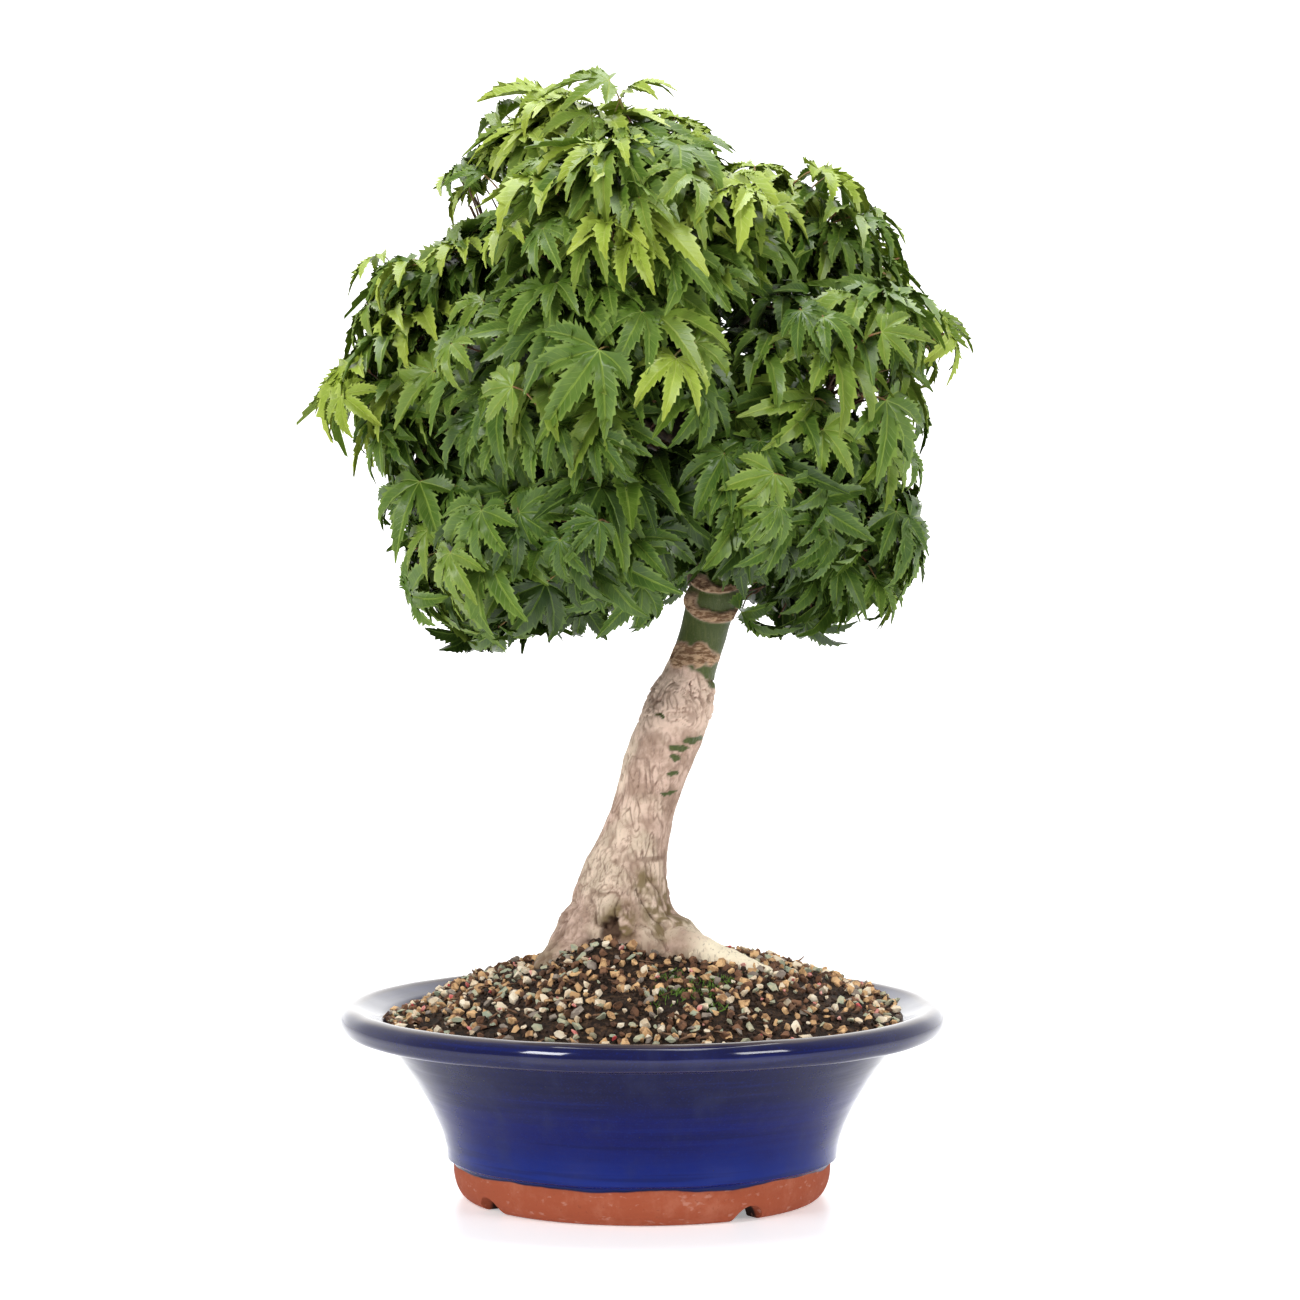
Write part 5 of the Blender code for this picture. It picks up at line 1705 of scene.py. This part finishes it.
    def grow_twig(self, start, target):
        """A twig with its shoots, and the joints on them where leaves may grow: the tips come first."""
        end = start + (target - start) * TWIG_REACH
        middle = (start + end) / 2.0 + self.chance.normal(0.0, TWIG_BEND, 3) + UP * TWIG_ARCH
        path = curve([start, middle, end], 5)
        self.twigs.append((path, *TWIG_RADII))
        direction = unit(path[-1] - path[-2])
        joints = []
        for spot, way in SHOOT_SPOTS:
            at = path[int(round(spot * (len(path) - 1)))]
            spread = self.sides(direction)[way] + direction * 0.6
            heading = self.aimed(spread, unit(at - CROWN_MIDDLE), *SHOOT_AIM)[0]
            tip = at + heading * self.chance.uniform(*SHOOT_LENGTHS)
            if not self.fits(tip[None, None, :], LACING, SHOOT_LEVEL)[0]:
                tip = (at + tip) / 2.0
            shoot = curve([at, (at + tip) / 2.0 + self.chance.normal(0.0, SHOOT_BEND, 3), tip], 3)
            self.shoots.append((shoot, *SHOOT_RADII))
            number = len(self.shoots) - 1
            tone = self.chance.uniform(0.0, 1.0)
            ways = self.sides(heading)
            joints.append((0, shoot[-1], heading, tone, number))
            joints += [(1, shoot[-1], ways[way] + heading * 0.5, tone, number) for way in ("left", "right")]
            joints += [(2, shoot[3], ways[way] + heading * 0.5, tone, number) for way in ("above", "below")]
        return joints

    def grow(self):
        """Twigs leave the stem for the outer side of the mass, and leaves fill the joints in turn."""
        mass = self.mass
        shares = np.linspace(*TWIG_STARTS, TWIGS_PER_MASS)
        joints = []
        for share, target in zip(shares, self.targets()):
            joints += self.grow_twig(mass.first + (mass.heart - mass.first) * share, target)
        shuffled = [joints[k] for k in self.chance.permutation(len(joints))]
        leafy = set()
        for _, joint, spread, tone, number in sorted(shuffled, key=lambda joint: joint[0]):
            if len(self.leaves) == LEAVES_PER_MASS:
                break
            if self.leaf(joint, spread, tone):
                leafy.add(number)
        self.twigs += [self.shoots[number] for number in sorted(leafy)]
        return self


# %% Grow all masses, from the highest down
growths = []
for k, mass in enumerate(reversed(masses)):
    others = [other for other in masses if other is not mass]
    growths.append(Growth(mass, others, SEED + k).grow())
leaves = [leaf for growth in growths for leaf in growth.leaves]
print(len(leaves), "leaves on", sum(len(g.twigs) for g in growths), "twigs and shoots")


# %% [markdown]
# ### Limbs, twigs and stalks as tubes
#
# A limb is a line with a thickness that changes along it. So each kind is one mesh of loose edges with a
# radius stored at each point, and a small tree sweeps a ring along every line at once. The limbs' last rings
# are closed, and their roots are sunk in what they grow from.

# %% The tube tree


def tube_recipe():
    recipe = Recipe("tubes_along_lines", {"Sides": "whole", "Material": "material"})
    nodes = recipe.nodes
    lines = nodes.add("GeometryNodeMeshToCurve", None, {"Mesh": recipe.input("Geometry")})
    sockets = {"Resolution": recipe.input("Sides"), "Radius": MM}
    ring = nodes.add("GeometryNodeCurvePrimitiveCircle", {"mode": "RADIUS"}, sockets)
    sockets = {"Curve": lines, "Profile Curve": ring, "Scale": recipe.attribute("radius"), "Fill Caps": True}
    recipe.close(nodes.add("GeometryNodeCurveToMesh", None, sockets))
    return recipe


tube_tree = tube_recipe()


def make_tubes(name, paths, radii, sides, surface, replaced=()):
    """One piece of tubes from a list of paths, each with its radii."""
    edges = []
    start = 0
    for path in paths:
        edges += [(k, k + 1) for k in range(start, start + len(path) - 1)]
        start += len(path)
    lines = mesh_of(f"{name}_lines", np.vstack(paths), (), {"radius": np.concatenate(radii)}, edges)
    mesh = smooth_shaded(tube_tree.run(lines, {"Sides": sides, "Material": surface}), 60.0)
    return piece(name, mesh, surface, replaced, outwards=True)


PALE_PORE = (0.3, 0.24, 0.17)
# Name, dark colour, light colour and size of the streaks.
YOUNG_BARKS = (
    ("limb_bark", (0.035, 0.028, 0.015), (0.12, 0.085, 0.05), 2.2),
    ("twig_bark", (0.095, 0.035, 0.022), (0.15, 0.095, 0.045), 1.2),
    ("stalk_skin", (0.2, 0.17, 0.045), (0.26, 0.11, 0.055), 4.0),
)


def young_bark(dark, light, size):
    """A finish for limbs and twigs: two browns in streaks, with fine pale breathing pores."""

    def recipe(nodes):
        place = nodes.place()
        streak = nodes.noise(place, size, detail=3.0)
        pores = nodes.step(nodes.cells(place, size * 0.7), 0.16, 0.07)
        colour = nodes.mix(nodes.step(streak, 0.38, 0.66), dark, light)
        return {
            "Base Color": nodes.mix(pores * 0.5, colour, PALE_PORE),
            "Roughness": 0.55 + streak * 0.25,
            "Normal": nodes.bump(streak - pores * 0.3, 0.25),
        }

    return recipe


limb_bark, twig_bark, stalk_skin = (
    finish(name, {"Specular IOR Level": 0.4}, young_bark(*look)) for name, *look in YOUNG_BARKS
)

# %% The limbs, the twigs and the stalks
named_boughs = [f"bough_{mass.name}" for mass in masses if mass.leaves_at is not None]
limbs = [mass.limb for mass in masses]
girths = [mass.girths for mass in masses]
make_tubes("boughs", limbs, girths, 10, limb_bark, named_boughs)
twigs = [twig for growth in growths for twig in growth.twigs]
girths = [np.linspace(thick, thin, len(path)) for path, thick, thin in twigs]
make_tubes("twigs", [path for path, _, _ in twigs], girths, 5, twig_bark)
stalks = [curve(stalk, 3) for growth in growths for stalk in growth.stalks]
girths = [np.linspace(*STALK_RADII, len(path)) for path in stalks]
make_tubes("leaf_stalks", stalks, girths, 4, stalk_skin)


# %% [markdown]
# ### The leaf
#
# A Japanese maple's leaf is a star of five to seven long lobes with a drawn-out tip and saw teeth that point
# forward. It is repeated a thousand times, so it has only a few dozen faces: each half of a lobe is four
# faces, and the teeth are corners in their outline. Folding each lobe along its midrib, bending it down and
# twisting it makes a flat star look alive.

# %% Kinds of leaf, and a lobe's width
LEAF_KINDS = (
    ((-92.0, 0.56), (-46.0, 0.86), (0.0, 1.0), (46.0, 0.86), (92.0, 0.56)),
    ((-118.0, 0.38), (-78.0, 0.68), (-38.0, 0.9), (0.0, 1.0), (38.0, 0.9), (78.0, 0.68), (118.0, 0.38)),
    ((-112.0, 0.3), (-72.0, 0.62), (-36.0, 0.86), (0.0, 0.96), (36.0, 0.88), (74.0, 0.66), (114.0, 0.34)),
    ((-86.0, 0.62), (-42.0, 0.9), (0.0, 1.0), (44.0, 0.84), (90.0, 0.52)),
    ((-120.0, 0.34), (-80.0, 0.64), (-40.0, 0.84), (0.0, 1.0), (40.0, 0.86), (80.0, 0.62), (120.0, 0.36)),
)
LEAF_VARIANTS = 15
LEAF_SEED = 70
LOBE_WIDTH = 0.127
SINUS = 0.17  # where two lobes meet, from the heel
LOBE_FOOT = 0.42  # half width of the outer lobes' feet, as a share of that
TOOTH = 0.06
TEETH = (3, 3, 2)  # in the low, middle and high stretch of each half lobe
STRETCHES = (0.0, 0.32, 0.68, 1.0)
CURLS = (0.4, 1.75)  # how far a leaf's lobes bend down from heel to tip, in radians
TIP_CURLS = (-0.7, 1.0)  # the bend that its last stretch adds; below 0 the tip turns up again
FOLDS = (0.35, 0.8)  # how steeply a lobe's halves rise from its midrib
SICKLES = (0.02, 0.16)  # how much an outer lobe bends back towards the middle one
TWISTS = (-0.35, 0.35)


def lobe_width(t, length):
    """Half width of a lobe at a share of the way from its sinus to its tip."""
    swell = math.sin(math.pi * min(t, 1.0) ** 0.62) ** 0.9
    return LOBE_WIDTH * length**0.5 * (swell * 0.78 + 0.22 * (1.0 - t))


# %% A lobe's midrib


class Midrib:
    """The bent line along the middle of one lobe."""

    def __init__(self, degrees, length, chance, curl):
        self.turn = math.radians(degrees)
        self.sickle = self.turn * chance.uniform(*SICKLES)
        self.length = length
        self.along = np.linspace(0.0, length, 17)
        share = self.along / length
        self.bend = curl * share + chance.uniform(*TIP_CURLS) * share**3
        step = np.diff(self.along)
        self.out = np.concatenate([[0.0], np.cumsum(np.cos(self.bend[:-1]) * step)])
        self.down = np.concatenate([[0.0], np.cumsum(np.sin(self.bend[:-1]) * step)])
        self.twist = chance.uniform(*TWISTS)

    def at(self, along, side, fold):
        """A point this far along the midrib and out to one side, on a lobe that is folded like a V."""
        share = along / self.length
        lines = (self.out, self.down, self.bend)
        out, down, bend = (np.interp(along, self.along, line) for line in lines)
        angle = self.turn - self.sickle * share * share
        lift = abs(side) * fold + side * self.twist * share
        out += lift * math.sin(bend)
        ahead = (math.cos(angle), math.sin(angle))
        return (
            out * ahead[0] - side * ahead[1],
            out * ahead[1] + side * ahead[0],
            lift * math.cos(bend) - down,
        )


# %% A whole leaf


class Leaf:
    """One leaf a unit long in the making, with its heel at the origin and its middle lobe along +X."""

    def __init__(self, kind, seed):
        self.chance = random.Random(seed)
        self.points, self.vein, self.reach, self.faces = [(0.0, 0.0, 0.0)], [1.0], [0.0], []
        self.fold = self.chance.uniform(*FOLDS)
        curl = self.chance.uniform(*CURLS)
        sinuses = {}
        for k in range(1, len(kind)):
            middle = math.radians((kind[k - 1][0] + kind[k][0]) / 2.0)
            half = math.radians((kind[k][0] - kind[k - 1][0]) / 2.0)
            lift = SINUS * math.sin(half) * self.fold
            sinuses[k] = self.add((SINUS * math.cos(middle), SINUS * math.sin(middle), lift), 0.0, SINUS)
        for k, (degrees, length) in enumerate(kind):
            length *= self.chance.uniform(0.92, 1.06)
            curled = curl * length + self.chance.uniform(-0.25, 0.25)
            self.lobe(Midrib(degrees, length, self.chance, curled), (sinuses.get(k), sinuses.get(k + 1)))

    def add(self, place, vein, reach):
        """A new point, with 1 for vein on a midrib, and how far out it is. Gives its number."""
        self.points.append(place)
        self.vein.append(vein)
        self.reach.append(reach)
        return len(self.points) - 1

    def lobe(self, midrib, sinuses):
        """A lobe's two halves, each from the sinus that it shares with the next lobe, if there is one."""
        start = SINUS * 0.96
        ribs = [start + (midrib.length - start) * t for t in STRETCHES]
        ribs = [self.add(midrib.at(out, 0.0, self.fold), 1.0, out) for out in ribs]
        for side, sinus in zip((-1.0, 1.0), sinuses):
            foot = sinus or self.add(midrib.at(start, side * SINUS * LOBE_FOOT, self.fold), 0.0, start)
            corner = foot
            for stretch in range(len(TEETH)):
                edge = [corner, *self.saw_edge(midrib, side, stretch, start)]
                corner = edge[-1]
                self.face([ribs[stretch], ribs[stretch + 1], *reversed(edge)], side)
            self.face([0, ribs[0], foot], side)

    def saw_edge(self, midrib, side, stretch, start):
        """The teeth of one stretch: for each a point that stands out, and the notch behind it."""
        low, high = STRETCHES[stretch], STRETCHES[stretch + 1]
        edge = []
        for tooth in range(TEETH[stretch]):
            t = low + (high - low) * (tooth + 0.8) / TEETH[stretch]
            wide = lobe_width(t, midrib.length) + TOOTH * (1.0 - 0.82 * t) * self.chance.uniform(0.6, 1.2)
            out = start + (midrib.length - start) * (t + 0.05 * (1.0 - t))
            fold = self.fold * self.chance.uniform(0.6, 1.3)
            edge.append(self.add(midrib.at(out, side * wide, fold), 0.0, out))
            t = low + (high - low) * (tooth + 1.0) / TEETH[stretch]
            if t < 0.999:
                wide = lobe_width(t, midrib.length)
                out = start + (midrib.length - start) * t
                fold = self.fold * self.chance.uniform(0.7, 1.2)
                edge.append(self.add(midrib.at(out, side * wide, fold), 0.0, out))
        return edge

    def face(self, corners, side):
        self.faces.append(corners if side < 0 else corners[::-1])

    def mesh(self):
        made = mesh_of("leaf", self.points, self.faces, {"vein": self.vein, "reach": self.reach})
        for edge in made.edges:
            edge.use_edge_sharp = all(self.vein[k] == 1.0 for k in edge.vertices)
        return made


# %% A collection of leaves


def leaf_shapes():
    """A collection of leaves of every kind, no two alike."""
    group = bpy.data.collections.new("leaf_shapes")
    for k in range(LEAF_VARIANTS):
        mesh = Leaf(LEAF_KINDS[k % len(LEAF_KINDS)], LEAF_SEED + k).mesh()
        mesh.shade_smooth()
        group.objects.link(bpy.data.objects.new(f"leaf_{k}", mesh))
        if k == 0:
            mesh.calc_loop_triangles()
            print(f"a leaf has {len(mesh.polygons)} faces, {len(mesh.loop_triangles)} triangles")
    return group


# %% The tree that hangs the leaves


def leaf_recipe():
    recipe = Recipe("leaves_on_stalks", {"Shapes": "collection", "Material": "material"})
    nodes = recipe.nodes
    face = recipe.attribute("face", "FLOAT_VECTOR")
    size = recipe.attribute("size")
    turned = nodes.add(
        "FunctionNodeAxesToRotation",
        {"primary_axis": "Z", "secondary_axis": "X"},
        {"Primary Axis": face, "Secondary Axis": recipe.attribute("forward", "FLOAT_VECTOR")},
    )
    spots = nodes.add("GeometryNodeMeshToPoints", None, {"Mesh": recipe.input("Geometry")})
    hung = recipe.real(recipe.shapes_on(spots, recipe.attribute("pattern"), turned, size))
    out = recipe.attribute("reach")
    offset = nodes.vector("SCALE", face, out * out * size * recipe.attribute("sag") * -MM)
    recipe.close(nodes.add("GeometryNodeSetPosition", None, {"Geometry": hung, "Offset": offset}))
    return recipe


# %% [markdown]
# ### Leaf greens
#
# Leaves of one shoot are of one age, so each spray takes much the same green, from dark olive through fresh
# green to yellow-green. Which green comes from the spray's own tone, chance and its place. The place counts
# partly for age, as the youngest grow at the top and the edges, and partly as painted light: inner and low
# sprays are painted darker as shade, outer, high and edge sprays lighter as if lit. There is one finish a
# shade. Its lighter midrib, its side veins and a change towards the tip come from numbers stored on the leaf.

# %% Shades
# Name, blade, rib, tip, and share of the leaves.
SHADES = (
    # The darker greens go to inner and low sprays as painted shade, the lighter ones to outer, high and edge
    # sprays as painted light.
    ("leaf_deep", (0.015, 0.037, 0.0048), (0.095, 0.155, 0.024), (0.026, 0.052, 0.006), 0.2),
    ("leaf_mid", (0.037, 0.082, 0.0092), (0.15, 0.225, 0.036), (0.049, 0.094, 0.009), 0.33),
    ("leaf_green", (0.06, 0.118, 0.0125), (0.2, 0.285, 0.05), (0.086, 0.14, 0.013), 0.26),
    ("leaf_fresh", (0.108, 0.178, 0.019), (0.24, 0.31, 0.056), (0.155, 0.2, 0.02), 0.14),
    ("leaf_young", (0.215, 0.295, 0.03), (0.36, 0.44, 0.09), (0.3, 0.33, 0.038), 0.07),
)
SAGS = (-0.05, 0.25)  # how far a leaf's tips hang down, as a share of its length
CROWN_HALF = (125.0, 120.0, 115.0)
# What makes a spray light: standing outwards and standing high, as painted light, its own tone, and chance.
LIGHT_OUT = 1.2
LIGHT_HIGH = 0.46
LIGHT_TONE = 0.8
LIGHT_CHANCE = 0.14
# And standing near the left or the right edge, also painted light: how much, from where and up to where.
LIGHT_LEFT = (0.42, 55.0, 115.0)
LIGHT_RIGHT = (0.3, 60.0, 125.0)


# %% A leaf's material


def leaf_finish(blade, rib, tip):
    """A leaf's material: it changes towards the tips, and the midribs and side veins are lighter."""

    def recipe(nodes):
        place = nodes.place()
        cloud = nodes.noise(place, 9.0, detail=2.0)
        fine = nodes.noise(place, 1.0, detail=2.0)
        vein, reach = nodes.stored("vein"), nodes.stored("reach")
        branch = nodes.maths("FRACT", reach * 13.0 + vein * 1.7)
        branch = nodes.step(branch, 0.84, 0.95) * nodes.step(vein, 0.05, 0.25) * nodes.step(reach, 0.2, 0.3)
        colour = nodes.layers(
            blade,
            (nodes.step(reach, 0.45, 1.0) * 0.55, tip),
            (nodes.step(cloud, 0.35, 0.7) * 0.2, rib),
            (branch * 0.4, rib),
            (nodes.step(vein, 0.16, 0.02) * nodes.step(reach, 0.15, 0.4) * 0.45, rib),
            (nodes.step(vein, 0.84, 0.93) * 0.9, rib),
        )
        return {
            "Base Color": colour,
            "Roughness": 0.27 + cloud * 0.18,
            "Normal": nodes.bump(fine * 0.4 + branch * -0.3 + nodes.step(vein, 0.9, 1.0) * 0.4, 0.16),
        }

    return recipe


# %% Which leaf takes which shade, and the hanging


def lightness(leaf, chance):
    """How light a leaf's spray is: its own tone and chance, and painted light that makes it lighter
    outwards, upwards and at both edges, most at the left, and darker as painted shade inside and low.
    """
    base, *_, tone = leaf
    out = np.linalg.norm((base - CROWN_MIDDLE) / CROWN_HALF)
    high = (base[2] - CROWN_MIDDLE[2]) / 110.0
    beside = 0.0
    for way, (most, start, end) in ((-1.0, LIGHT_LEFT), (1.0, LIGHT_RIGHT)):
        beside += most * smooth_step(way * base[0], start, end)
    luck = chance.uniform(-LIGHT_CHANCE, LIGHT_CHANCE)
    return LIGHT_OUT * out + LIGHT_HIGH * high + beside + LIGHT_TONE * tone + luck


def make_leaves():
    tree = leaf_recipe()
    shapes = leaf_shapes()
    chance = random.Random(SEED)
    # Ranking by lightness deals the painted light and shade along with each spray's own tone.
    ranked = sorted(leaves, key=lambda leaf: lightness(leaf, chance))
    ends = np.cumsum([0.0, *(shade[-1] for shade in SHADES)]) * len(leaves)
    dealt = [ranked[int(round(start)) : int(round(end))] for start, end in zip(ends, ends[1:])]
    named_masses = [f"foliage_{mass.name}" for mass in masses]
    for (name, *colours, _), members in zip(SHADES, dealt):
        surface = finish(name, {"Specular IOR Level": 0.28}, leaf_finish(*colours))
        places, faces, forwards, lengths, _ = zip(*members)
        facts = {
            "face": faces,
            "forward": forwards,
            "size": lengths,
            "pattern": [chance.randrange(LEAF_VARIANTS) for _ in members],
            "sag": [chance.uniform(*SAGS) for _ in members],
        }
        spots = mesh_of(f"{name}_spots", places, (), facts)
        mesh = tree.run(spots, {"Shapes": shapes, "Material": surface})
        print(name, len(members), "leaves")
        piece(name, mesh, surface, named_masses)
    clear_away(shapes)


make_leaves()
